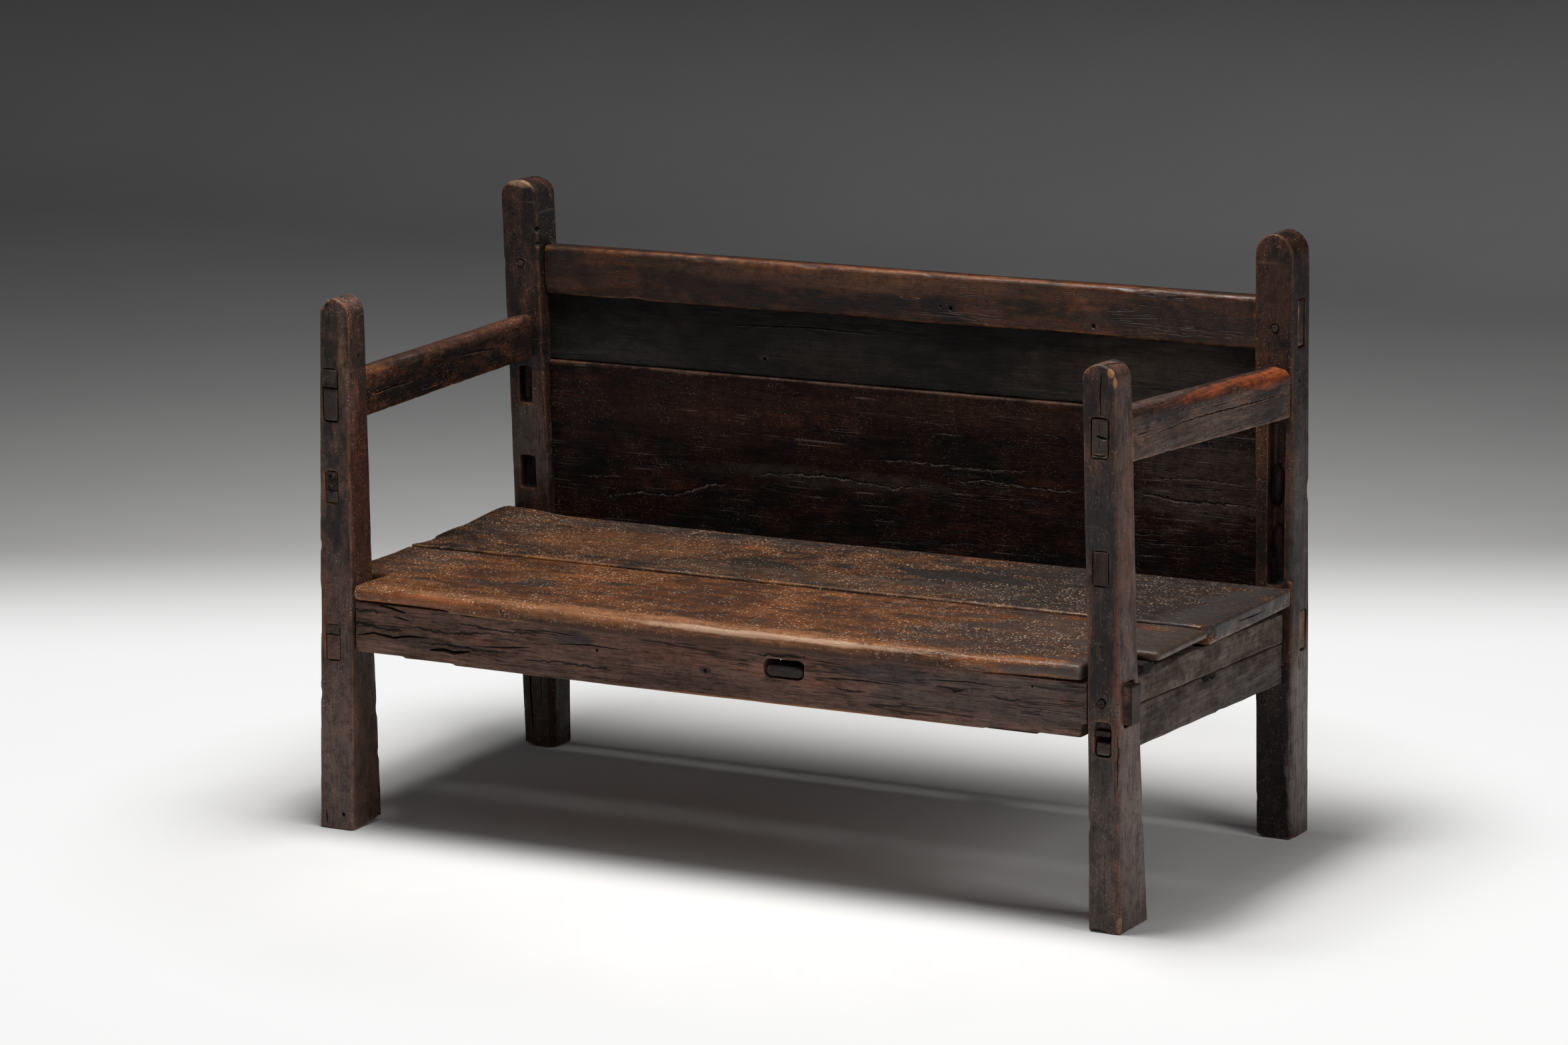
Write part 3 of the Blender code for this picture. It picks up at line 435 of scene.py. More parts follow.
@dataclass(frozen=True)
class Patch:
    """A place where the wood has another colour.

    Attributes:
        at: Its middle.
        radii: Its reach along X, Y and Z.
        colour: Its colour.
        share: How strong it is.
        late: Whether it lies over the wear, as dirt and painted light and shade do.
    """

    at: Point
    radii: Point
    colour: Colour
    share: float
    late: bool = False


@dataclass(frozen=True)
class Face:
    """A timber's flat face, on which a mark's place is given by its two other coordinates.

    Attributes:
        normal: Its outward direction, along an axis.
        level: Its place on that axis.
        deep: How far its patches reach into the wood.
    """

    normal: Point
    level: float
    deep: float = 0.02

    def filled(self, pair: Spot, third: float) -> Point:
        """Puts a third number among two, at the place of the face's axis.

        Args:
            pair: The numbers on the other two axes.
            third: The number on the face's axis.

        Returns:
            The three numbers.
        """
        whole = list(pair)
        whole.insert([abs(part) for part in self.normal].index(1), third)
        return tuple(whole)

    def crack(self, width: float, depth: float, *spots: Spot, jitter: float = 0.0003) -> Crack:
        """Returns a crack through these spots of the face."""
        points = tuple(self.filled(spot, self.level) for spot in spots)
        return Crack(points, width, depth, self.normal, jitter)

    def line(self, width: float, *spots: Spot, jitter: float = 0.0003) -> Crack:
        """Returns a crack that is only drawn."""
        return self.crack(width, 0, *spots, jitter=jitter)

    def hole(self, first: float, second: float, radius: float, depth: float = 0.012) -> Hole:
        """Returns a hole at a spot of the face."""
        return Hole(self.filled((first, second), self.level), self.normal, radius, depth)

    def patch(self, spot: Spot, reach: Spot, colour: Colour, share: float, late: bool = False) -> Patch:
        """Returns a patch of another colour on the face."""
        return Patch(self.filled(spot, self.level), self.filled(reach, self.deep), colour, share, late)


# Shader maths


class Value:
    """A shader socket that takes part in sums."""

    def __init__(self, graph: "Graph", socket: bpy.types.NodeSocket) -> None:
        """Keeps the graph that the socket belongs to."""
        self.graph = graph
        self.socket = socket

    def math(self, operation: str, *others: "Value | float") -> "Value":
        """Adds a Math node on this value and others."""
        return self.graph.value("ShaderNodeMath", {"operation": operation}, dict(enumerate((self, *others))))

    def __add__(self, other: "Value | float") -> "Value":
        """Sum."""
        return self.math("ADD", other)

    __radd__ = __add__

    def __mul__(self, other: "Value | float") -> "Value":
        """Product."""
        return self.math("MULTIPLY", other)

    __rmul__ = __mul__

    def __sub__(self, other: "Value | float") -> "Value":
        """Difference."""
        return self.math("SUBTRACT", other)

    def __rsub__(self, other: float) -> "Value":
        """Difference from a number."""
        return self.graph.value("ShaderNodeMath", {"operation": "SUBTRACT"}, {0: other, 1: self})

    def __truediv__(self, other: "Value | float") -> "Value":
        """Quotient."""
        return self.math("DIVIDE", other)

    def rise(self, low: float, high: float) -> "Value":
        """Goes smoothly from 0 to 1. Low may be above high.

        Args:
            low: Where it is 0.
            high: Where it is 1.

        Returns:
            The value.
        """
        swap = low > high
        settings = {"interpolation_type": "SMOOTHSTEP"}
        ends = {1: min(low, high), 2: max(low, high), 3: float(swap), 4: float(not swap)}
        return self.graph.value("ShaderNodeMapRange", settings, {0: self, **ends})


class Graph:
    """The node tree of one material."""

    def __init__(self, name: str) -> None:
        """Starts a material with a Principled shader.

        Args:
            name: The material's name.
        """
        self.material = bpy.data.materials.new(name)
        self.material.use_nodes = True
        self.tree = self.material.node_tree
        self.shader = self.tree.nodes["Principled BSDF"]

    def node(self, kind: str, settings: dict[str, object], inputs: dict[int | str, object]) -> bpy.types.Node:
        """Adds a node.

        Args:
            kind: The node's type.
            settings: Its properties, set first.
            inputs: Values or links of its sockets, by place or name.

        Returns:
            The node.
        """
        made = self.tree.nodes.new(kind)
        for name, setting in settings.items():
            if name == "stops":
                self.set_stops(made.color_ramp, setting)
            else:
                setattr(made, name, setting)
        for key, given in inputs.items():
            self.feed(made.inputs[key], given)
        return made

    @staticmethod
    def set_stops(ramp: bpy.types.ColorRamp, stops: list[Spot]) -> None:
        """Gives a ramp its stops.

        Args:
            ramp: The ramp.
            stops: Their places and grey levels.
        """
        while len(ramp.elements) < len(stops):
            ramp.elements.new(0.5)
        for element, (place, level) in zip(ramp.elements, stops):
            element.position = place
            element.color = (level, level, level, 1)

    def feed(self, socket: bpy.types.NodeSocket, given: object) -> None:
        """Links a value to a socket, or sets the socket's own value.

        Args:
            socket: The input.
            given: A value, another node's socket, or a number or colour.
        """
        if isinstance(given, Value):
            self.tree.links.new(given.socket, socket)
        elif isinstance(given, bpy.types.NodeSocket):
            self.tree.links.new(given, socket)
        else:
            socket.default_value = given

    def value(
        self, kind: str, settings: dict[str, object], inputs: dict[int | str, object], output: int | str = 0
    ) -> Value:
        """Adds a node and wraps one of its outputs."""
        return Value(self, self.node(kind, settings, inputs).outputs[output])

    def place(self) -> Value:
        """Object coordinates."""
        return self.value("ShaderNodeTexCoord", {}, {}, "Object")

    def mapped(
        self, coords: Value, scale: Point = (1, 1, 1), turn: Point = (0, 0, 0), move: Point = (0, 0, 0)
    ) -> Value:
        """Moves, turns and scales coordinates with a Mapping node.

        Args:
            coords: The coordinates.
            scale: Factors along X, Y and Z.
            turn: Rotation in degrees about X, Y and Z.
            move: The move.

        Returns:
            The new coordinates.
        """
        turned = tuple(math.radians(angle) for angle in turn)
        inputs = {"Vector": coords, "Location": move, "Rotation": turned, "Scale": scale}
        return self.value("ShaderNodeMapping", {}, inputs)

    def noise(
        self, coords: Value, scale: float, detail: float = 3, roughness: float = 0.5, bend: float = 0
    ) -> Value:
        """Noise from about 0 to 1."""
        shape = {"Scale": scale, "Detail": detail, "Roughness": roughness, "Distortion": bend}
        return self.value("ShaderNodeTexNoise", {}, {"Vector": coords, **shape})

    def cells(self, coords: Value, scale: float) -> Value:
        """Distance to scattered points."""
        return self.value("ShaderNodeTexVoronoi", {}, {"Vector": coords, "Scale": scale}, "Distance")

    def blend(self, share: Value | float, first: object, second: object, how: str = "MIX") -> Value:
        """Mixes two colours.

        Args:
            share: How much of the second.
            first: A colour or a value.
            second: A colour or a value.
            how: The blend type.

        Returns:
            The colour.
        """
        sides = [(*side, 1) if isinstance(side, tuple) else side for side in (first, second)]
        settings = {"data_type": "RGBA", "blend_type": how}
        return self.value("ShaderNodeMix", settings, {0: share, 6: sides[0], 7: sides[1]}, 2)

    def tint(self, share: Value | float, colour: Value, by: Colour) -> Value:
        """Multiplies a colour by another, as far as the share says."""
        return self.blend(share, colour, by, "MULTIPLY")

    def near(
        self, coords: Value, point: Point, radii: Point, soft: Value | float = 0.0, inner: float = 0.55
    ) -> Value:
        """Falls from 1 round a point to 0 at its reach.

        Args:
            coords: Object coordinates.
            point: The point.
            radii: Its reach along X, Y and Z.
            soft: What is added to the distance, to make the rim ragged.
            inner: Share of the reach where the fall starts.

        Returns:
            The value.
        """
        move = tuple(-p / r for p, r in zip(point, radii))
        scaled = self.mapped(coords, scale=tuple(1 / r for r in radii), move=move)
        reach = self.value("ShaderNodeVectorMath", {"operation": "LENGTH"}, {0: scaled}, "Value")
        return (reach + soft).rise(1.0, inner)

    def trace(self, coords: Value, crack: Crack, wander: Value) -> tuple[Value, Value]:
        """Draws a crack on its face.

        Args:
            coords: Object coordinates.
            crack: The crack.
            wander: Noise that the line strays by.

        Returns:
            The crack's line, and the lit lip below it.
        """
        split = self.node("ShaderNodeSeparateXYZ", {}, {0: coords})
        along = [Value(self, split.outputs[axis]) for axis in range(3)]
        first, last = crack.points[0], crack.points[-1]
        face = max(range(3), key=lambda axis: abs(crack.normal[axis]))
        flat = (axis for axis in range(3) if axis != face)
        run = max(flat, key=lambda axis: abs(last[axis] - first[axis]))
        across = 3 - face - run
        line = sorted(crack.points, key=lambda point: point[run])
        start, length = line[0][run], line[-1][run] - line[0][run]
        low = min(point[across] for point in line)
        span = max(point[across] for point in line) - low + 1e-4
        stops = [((point[run] - start) / length, (point[across] - low) / span) for point in line]
        share = ((along[run] - start) / length).math("MINIMUM", 1.0).math("MAXIMUM", 0.0)
        middle = self.value("ShaderNodeValToRGB", {"stops": stops}, {0: share}) * span + low
        taper = (share * (1 - share) * 4).math("POWER", 0.6)
        width = taper * (crack.width * 0.62) + 0.0001
        off = along[across] - middle + wander * (CUT_STRAY if crack.depth else DRAWN_STRAY)
        depth = (along[face] - first[face]).math("ABSOLUTE")
        here = depth.rise(0.020, 0.012) * taper.rise(0.0, 0.2)
        core = (off.math("ABSOLUTE") / width).rise(1.2, 0.6) * here
        lip = ((off + crack.width * 0.85).math("ABSOLUTE") / width).rise(1.3, 0.5) * here
        return core, lip


class Figure:
    """The patterns of one timber's surface, from 0 to 1, which its colour, gloss and relief share."""

    def __init__(self, graph: Graph, grain: Grain, splits: tuple[Crack | Hole, ...], seed: float) -> None:
        """Lays the patterns out.

        Args:
            graph: The material's graph.
            grain: The axis of the grain.
            splits: Cracks and holes.
            seed: Moves the patterns.
        """
        self.graph = graph
        self.grain = grain
        self.raw = graph.place()
        self.coords = coords = graph.mapped(self.raw, move=(seed * 3.1, seed * 1.7, seed * 2.3))
        self.clouds = graph.noise(coords, 6.5, 5, 0.62)
        self.stains = graph.noise(self.along(2.5), 34, 4, 0.62)
        self.drift = graph.noise(self.along(9), 30, 5, 0.65, 0.5)
        self.fibres = graph.noise(self.along(26), 230, 5, 0.72)
        self.threads = graph.noise(self.along(50), 800, 3, 0.65)
        self.lines = self.fibres.rise(0.40, 0.60) * 0.6 + self.threads.rise(0.38, 0.62) * 0.4
        self.pores = graph.noise(self.along(14), 520, 2, 0.5).rise(0.56, 0.66)
        waves = graph.noise(self.along(7), 5.0, 2, 0.4, 0.25) * 26
        self.rings = waves.math("PINGPONG", 1.0).rise(0.05, 0.95)
        veins = (graph.noise(self.along(22), 62, 3, 0.55, 0.3) - 0.5).math("ABSOLUTE").rise(0.020, 0.007)
        self.fissures = veins * graph.noise(self.along(3), 17, 3, 0.6).rise(0.52, 0.60)
        self.rubbed, self.hollow = self.edges()
        self.core, self.lip = self.traced(splits)
        self.dots, self.grit, self.specks = self.flecks()
        self.strokes = self.scratches()
        eaten = graph.noise(coords, 24, 3, 0.6).rise(0.50, 0.56)
        self.holes = graph.cells(coords, 105).rise(0.15, 0.10) * eaten

    def along(self, stretch: float) -> Value:
        """Coordinates stretched along the grain."""
        scale = tuple(1 / stretch if axis == self.grain.value else 1.0 for axis in range(3))
        return self.graph.mapped(self.coords, scale=scale)

    def edges(self) -> tuple[Value, Value]:
        """Finds where the surface is rubbed and where it is hollow.

        Returns:
            The rubbed edges and the hollow corners.
        """
        edge = self.graph.value("ShaderNodeNewGeometry", {}, {}, "Pointiness")
        worn = (self.graph.noise(self.coords, 48, 4, 0.65) * 0.6 + self.clouds * 0.4).rise(0.42, 0.56)
        rubbed = (edge + (self.drift - 0.5) * 0.05).rise(0.506, 0.56) * (worn * 0.85 + 0.15)
        return rubbed, (edge + (self.drift - 0.5) * 0.02).rise(0.488, 0.44)

    def traced(self, splits: tuple[Crack | Hole, ...]) -> tuple[Value | float, Value | float]:
        """Draws the cracks and holes.

        Args:
            splits: Cracks and holes.

        Returns:
            The cracks with the holes, and the lips of the cracks.
        """
        wander = self.graph.noise(self.coords, 75, 4, 0.65) - 0.5
        core: Value | float = 0.0
        lip: Value | float = 0.0
        for split in splits:
            if isinstance(split, Hole):
                hole = self.graph.near(self.raw, split.at, (split.radius * 1.25,) * 3, inner=0.75)
                core = hole.math("MAXIMUM", core)
            else:
                line, edge = self.graph.trace(self.raw, split, wander)
                core = line.math("MAXIMUM", core)
                lip = edge.math("MAXIMUM", lip)
        return core, lip

    def flecks(self) -> tuple[Value, Value, Value]:
        """Scatters light marks.

        Returns:
            The round flecks, the fine ones and the bright specks.
        """
        graph, coords = self.graph, self.coords
        mask = (self.clouds * 0.6 + self.stains * 0.4).rise(0.44, 0.58)
        dots = graph.cells(graph.mapped(coords, scale=(1.0, 1.0, 1.6)), 145).rise(0.29, 0.15)
        dots = dots * graph.noise(coords, 85, 2, 0.6).rise(0.45, 0.55) * mask
        grit = graph.noise(coords, 420, 3, 0.7).rise(0.58, 0.68) * mask
        specks = graph.cells(self.along(2.4), 330).rise(0.25, 0.15)
        return dots, grit, specks * graph.noise(coords, 42, 3, 0.65).rise(0.47, 0.57)

    def scratches(self) -> Value:
        """Draws scratches that run two ways.

        Returns:
            The scratches.
        """
        ways = (((1, 0.02, 1), (8, 12, 28), 330), ((0.018, 1, 1), (-14, 9, -17), 310))
        marks, more = (
            self.graph.noise(self.graph.mapped(self.coords, scale, turn), size, 2, 0.5).rise(0.62, 0.70)
            for scale, turn, size in ways
        )
        return marks.math("MAXIMUM", more) * self.graph.noise(self.coords, 12, 3, 0.6).rise(0.46, 0.58)


# Tints that the wood's colour is multiplied by

GRIME: Colour = (0.42, 0.35, 0.32)
FIBRE_GAP: Colour = (0.30, 0.26, 0.25)
FIBRE_LIGHT: Colour = (1.9, 1.75, 1.6)
RING: Colour = (0.40, 0.35, 0.33)
PORE: Colour = (0.22, 0.20, 0.20)
FISSURE: Colour = (0.13, 0.12, 0.12)
HOLLOW: Colour = (0.16, 0.15, 0.15)
SPLIT: Colour = (0.10, 0.09, 0.09)
BEETLE: Colour = (0.10, 0.10, 0.10)


@dataclass(frozen=True)
class WoodFinish:
    """Old wood: its colours, figure, wear and gloss.

    Attributes:
        slot: The finish's name, which the material inside its cracks is named after.
        body: Main colour.
        dark: Colour of streaks, dirt and dark patches.
        warm: Colour of patches where the surface glows through.
        worn: Colour of rubbed edges.
        pale: Colour of flecks and scratches.
        warmth: Share of warm patches.
        flecks: Share of pale flecks.
        scratches: Strength of scratches.
        figure: Strength of the annual rings.
        pores: Strength of the pores.
        beetles: Strength of beetle holes.
        wear: Strength of the rubbed edges.
        gloss: Roughness of rubbed and of dry wood.
        relief: Height of the grain in millimetres.
        grain: Contrast of the fibres.
        rims: Strength of the pale lips of cracks.
        mottle: Strength of the dark clouds.
        fissures: Strength of the fine dark cracks along the grain.
        shine: Strength of the surface's reflection.
    """

    slot: str
    body: Colour
    dark: Colour
    warm: Colour
    worn: Colour
    pale: Colour
    warmth: float
    flecks: float
    scratches: float
    figure: float
    pores: float
    beetles: float = 0.0
    wear: float = 0.8
    gloss: Spot = (0.38, 0.68)
    relief: float = 0.35
    grain: float = 0.75
    rims: float = 0.0
    mottle: float = 1.0
    fissures: float = 0.5
    shine: float = 0.32

    def material(
        self, name: str, grain: Grain, patches: tuple[Patch, ...], splits: tuple[Crack | Hole, ...],
        seed: float,
    ) -> bpy.types.Material:
        """Builds the material for a timber.

        Args:
            name: The material's name.
            grain: The axis of its grain.
            patches: Places of another colour.
            splits: Cracks and holes.
            seed: Moves the pattern, so that no two timbers match.

        Returns:
            The material.
        """
        graph = Graph(name)
        wood = Figure(graph, grain, splits, seed)
        colour = self.bare(wood)
        colour = self.patched(wood, colour, [patch for patch in patches if not patch.late])
        colour = self.marked(wood, self.figured(wood, colour))
        colour = self.patched(wood, colour, [patch for patch in patches if patch.late])
        shader = graph.shader.inputs
        graph.feed(shader["Base Color"], self.broken(wood, colour, bool(splits)))
        graph.feed(shader["Roughness"], self.roughness(wood))
        height = {"Strength": 1.0, "Distance": self.relief / 1000, "Height": self.height(wood, bool(splits))}
        graph.feed(shader["Normal"], graph.node("ShaderNodeBump", {}, height).outputs[0])
        shader["Specular IOR Level"].default_value = self.shine
        return graph.material

    def bare(self, wood: Figure) -> Value:
        """Mixes the wood's own colour, with its dark clouds and warm patches.

        Args:
            wood: The patterns.

        Returns:
            The colour.
        """
        stain = (wood.clouds * 0.38 + wood.stains * 0.62).rise(0.57, 0.42) * self.mottle
        low = 0.575 - 0.11 * self.warmth
        glow = (wood.drift * 0.5 + wood.clouds * 0.5).rise(low, low + 0.11) * (0.45 + 0.5 * self.warmth)
        return wood.graph.blend(glow, wood.graph.blend(stain, self.body, self.dark), self.warm)

    def patched(self, wood: Figure, colour: Value, patches: list[Patch]) -> Value:
        """Lays patches of other colours over a colour.

        Args:
            wood: The patterns.
            colour: The colour below.
            patches: The patches.

        Returns:
            The colour with them.
        """
        for patch in patches:
            ragged = (wood.stains - 0.5) * 1.6 + (wood.drift - 0.5) * 1.2
            reach = wood.graph.near(wood.raw, patch.at, patch.radii, ragged)
            colour = wood.graph.blend(reach * patch.share, colour, patch.colour)
        return colour

    def figured(self, wood: Figure, colour: Value) -> Value:
        """Adds grime, fibres, rings, pores and fine cracks.

        Args:
            wood: The patterns.
            colour: The colour below.

        Returns:
            The colour with them.
        """
        graph = wood.graph
        grime = graph.noise(graph.mapped(wood.coords, move=(4.1, 2.2, 7.7)), 58, 6, 0.78).rise(0.47, 0.60)
        for share, tint in (
            (grime * self.mottle * 0.75, GRIME),
            ((1 - wood.lines) * self.grain, FIBRE_GAP),
            (wood.fibres.rise(0.56, 0.70) * self.grain * 0.7, FIBRE_LIGHT),
            ((1 - wood.rings) * self.figure, RING),
            (wood.pores * self.pores, PORE),
            (wood.fissures * self.fissures, FISSURE),
        ):
            colour = graph.tint(share, colour, tint)
        return colour

    def marked(self, wood: Figure, colour: Value) -> Value:
        """Adds flecks, scratches and rubbed edges, and darkens the concave corners.

        Args:
            wood: The patterns.
            colour: The colour below.

        Returns:
            The colour with them.
        """
        graph = wood.graph
        for share, other in (
            (wood.dots.math("MAXIMUM", wood.grit * 0.6) * self.flecks, self.pale),
            (wood.specks * self.flecks * self.flecks * 1.1, self.pale),
            (wood.strokes * self.scratches, self.pale),
            (wood.rubbed * self.wear, self.worn),
        ):
            colour = graph.blend(share, colour, other)
        return graph.tint(wood.hollow * 0.9, colour, HOLLOW)

    def broken(self, wood: Figure, colour: Value, split: bool) -> Value:
        """Adds the cracks with their lips, and the beetle holes.

        Args:
            wood: The patterns.
            colour: The colour below.
            split: Whether the timber has cracks or holes of its own.

        Returns:
            The colour with them.
        """
        graph = wood.graph
        if split:
            ragged = (graph.noise(wood.coords, 130, 3, 0.7) * 0.6 + wood.drift * 0.4).rise(0.42, 0.56)
            colour = graph.blend(wood.lip * ragged * self.rims, colour, self.pale)
            colour = graph.tint(wood.core * 0.95, colour, SPLIT)
        if self.beetles:
            colour = graph.tint(wood.holes * self.beetles, colour, BEETLE)
        return colour

    def roughness(self, wood: Figure) -> Value:
        """Makes rubbed wood smoother, and the grain rougher.

        Args:
            wood: The patterns.

        Returns:
            The roughness.
        """
        span = self.gloss[1] - self.gloss[0]
        rough = self.gloss[1] - (wood.clouds * 0.5 + wood.stains * 0.5).rise(0.42, 0.60) * span * 0.7
        return rough - wood.rubbed * span * 0.5 + (1 - wood.lines) * 0.10 + wood.pores * 0.1

    def height(self, wood: Figure, split: bool) -> Value:
        """Adds up the relief of the fibres, pores, marks and cracks.

        Args:
            wood: The patterns.
            split: Whether the timber has cracks or holes of its own.

        Returns:
            The height.
        """
        graph, coords = wood.graph, wood.coords
        height = (wood.fibres + wood.threads * 0.35) * self.grain - wood.pores * 0.5
        height = height - wood.fissures * self.fissures * 2.5
        height = height - wood.strokes * 0.5 * self.scratches - wood.dots * 0.5
        height = height + graph.noise(coords, 340, 3, 0.65) * 0.6 + graph.noise(coords, 42, 4, 0.6) * 2.6
        height = height + graph.noise(wood.along(4), 100, 4, 0.62) * 1.6
        if split:
            height = height - wood.core * 5.0
        if self.beetles:
            height = height - wood.holes * 2.5 * self.beetles
        return height

    def inside(self) -> bpy.types.Material:
        """Builds the material of the walls inside a crack, darkened as painted shade.

        Returns:
            The material.
        """
        graph = Graph(f"{self.slot}_split")
        shade = graph.noise(graph.place(), 300, 3, 0.6).rise(0.35, 0.65)
        dark = tuple(part * 0.25 for part in self.dark)
        body = tuple(part * 0.35 for part in self.body)
        graph.feed(graph.shader.inputs["Base Color"], graph.blend(shade, dark, body))
        graph.shader.inputs["Roughness"].default_value = 0.95
        graph.shader.inputs["Specular IOR Level"].default_value = 0.1
        return graph.material


# Finishes

POST = WoodFinish(
    "post_timber", (0.098, 0.048, 0.034), (0.018, 0.011, 0.009), (0.19, 0.066, 0.03), (0.34, 0.13, 0.05),
    (0.34, 0.25, 0.19), wear=0.4, warmth=0.42, flecks=0.6, scratches=0.08, figure=0.05, pores=0.5,
    beetles=0.9, gloss=(0.3, 0.56), relief=0.45, grain=0.28, shine=0.33,
)
REAR_POST = WoodFinish(
    "post_timber", (0.04, 0.016, 0.0095), (0.008, 0.0045, 0.0035), (0.095, 0.032, 0.014),
    (0.22, 0.085, 0.035), (0.3, 0.22, 0.17), wear=0.5, warmth=0.4, flecks=0.45, scratches=0.1, figure=0.08,
    pores=0.5, beetles=0.4, gloss=(0.3, 0.56), relief=0.45, grain=0.35, fissures=0.8, shine=0.22,
)
RAIL = WoodFinish(
    "rail_timber", (0.215, 0.118, 0.086), (0.105, 0.066, 0.053), (0.32, 0.125, 0.072), (0.3, 0.16, 0.1),
    (0.24, 0.19, 0.155), warmth=0.4, flecks=0.15, scratches=0.05, figure=0.3, pores=0.5, beetles=0.3,
    wear=0.6, gloss=(0.42, 0.72), relief=0.8, grain=0.5, shine=0.25, fissures=0.8, mottle=0.6,
)
SIDE_RAIL = WoodFinish(
    "rail_timber", (0.105, 0.08, 0.07), (0.055, 0.04, 0.035), (0.135, 0.088, 0.066), (0.2, 0.14, 0.11),
    (0.26, 0.22, 0.19), warmth=0.3, flecks=0.1, scratches=0.2, figure=0.2, pores=0.3, beetles=0.5, wear=0.5,
    gloss=(0.45, 0.75), relief=0.3, grain=0.6, shine=0.22,
)
STRIP = WoodFinish(
    "packing_timber", (0.15, 0.118, 0.094), (0.085, 0.064, 0.052), (0.175, 0.14, 0.11), (0.22, 0.18, 0.145),
    (0.26, 0.22, 0.19), warmth=0.4, flecks=0.0, scratches=0.05, figure=0.35, pores=0.2, wear=0.4,
    gloss=(0.55, 0.8), relief=0.25, grain=0.55, shine=0.2,
)
ARM = WoodFinish(
    "arm_timber", (0.088, 0.036, 0.021), (0.022, 0.012, 0.009), (0.17, 0.058, 0.024), (0.42, 0.15, 0.048),
    (0.34, 0.27, 0.22), warmth=0.55, flecks=0.4, scratches=0.1, figure=0.3, pores=0.5, beetles=0.4, rims=0.05,
    fissures=0.6, gloss=(0.24, 0.5), relief=0.45, shine=0.28,
)
CREST = WoodFinish(
    "crest_timber", (0.054, 0.0185, 0.008), (0.01, 0.0048, 0.003), (0.14, 0.046, 0.014), (0.42, 0.165, 0.065),
    (0.26, 0.21, 0.17), warmth=0.55, flecks=0.15, scratches=0.03, figure=0.22, pores=0.45, wear=0.9,
    gloss=(0.22, 0.5), relief=0.36, grain=0.38, shine=0.29,
)
UPPER = WoodFinish(
    "upper_board_timber", (0.0135, 0.0105, 0.0085), (0.0045, 0.0038, 0.0033), (0.03, 0.018, 0.012),
    (0.06, 0.036, 0.022), (0.13, 0.12, 0.11), warmth=0.25, flecks=0.1, scratches=0.12, figure=0.7, pores=0.3,
    wear=0.4, rims=0.5, gloss=(0.36, 0.62), relief=0.4, shine=0.22, grain=0.5,
)
LOWER = WoodFinish(
    "lower_board_timber", (0.013, 0.0038, 0.002), (0.003, 0.0014, 0.001), (0.06, 0.017, 0.007),
    (0.2, 0.11, 0.07), (0.19, 0.145, 0.12), warmth=0.42, flecks=0.25, scratches=0.35, figure=0.3, pores=0.4,
    wear=0.35, rims=0.5, gloss=(0.3, 0.62), relief=0.55, shine=0.1, fissures=0.8, grain=0.35,
)
SEAT = WoodFinish(
    "seat_timber", (0.15, 0.049, 0.014), (0.036, 0.016, 0.009), (0.33, 0.105, 0.022), (0.46, 0.23, 0.105),
    (0.66, 0.5, 0.37), warmth=0.5, flecks=0.8, scratches=0.09, figure=0.25, pores=0.45,
    gloss=(0.2, 0.44), relief=0.5, grain=0.66, shine=0.27, mottle=0.72,
)
REAR_SEAT = replace(
    SEAT, body=(0.1, 0.037, 0.014), dark=(0.024, 0.014, 0.01), warm=(0.25, 0.082, 0.02), mottle=1.0,
    wear=0.35,
)
PEG = WoodFinish(
    "peg_timber", (0.095, 0.056, 0.04), (0.034, 0.022, 0.017), (0.14, 0.072, 0.045), (0.2, 0.12, 0.08),
    (0.3, 0.24, 0.2), warmth=0.4, flecks=0.3, scratches=0.1, figure=0.4, pores=0.6, wear=0.3,
    gloss=(0.5, 0.8), relief=0.5,
)

ORANGE: Colour = (0.3, 0.115, 0.04)
STRAW: Colour = (0.34, 0.22, 0.13)
# Near-black, for soot round nail holes and in the broken gap of the right rail, and for painted shade under
# the seat's notch and on the rear left post's inner side
SOOT_AND_SHADE: Colour = (0.01, 0.008, 0.007)


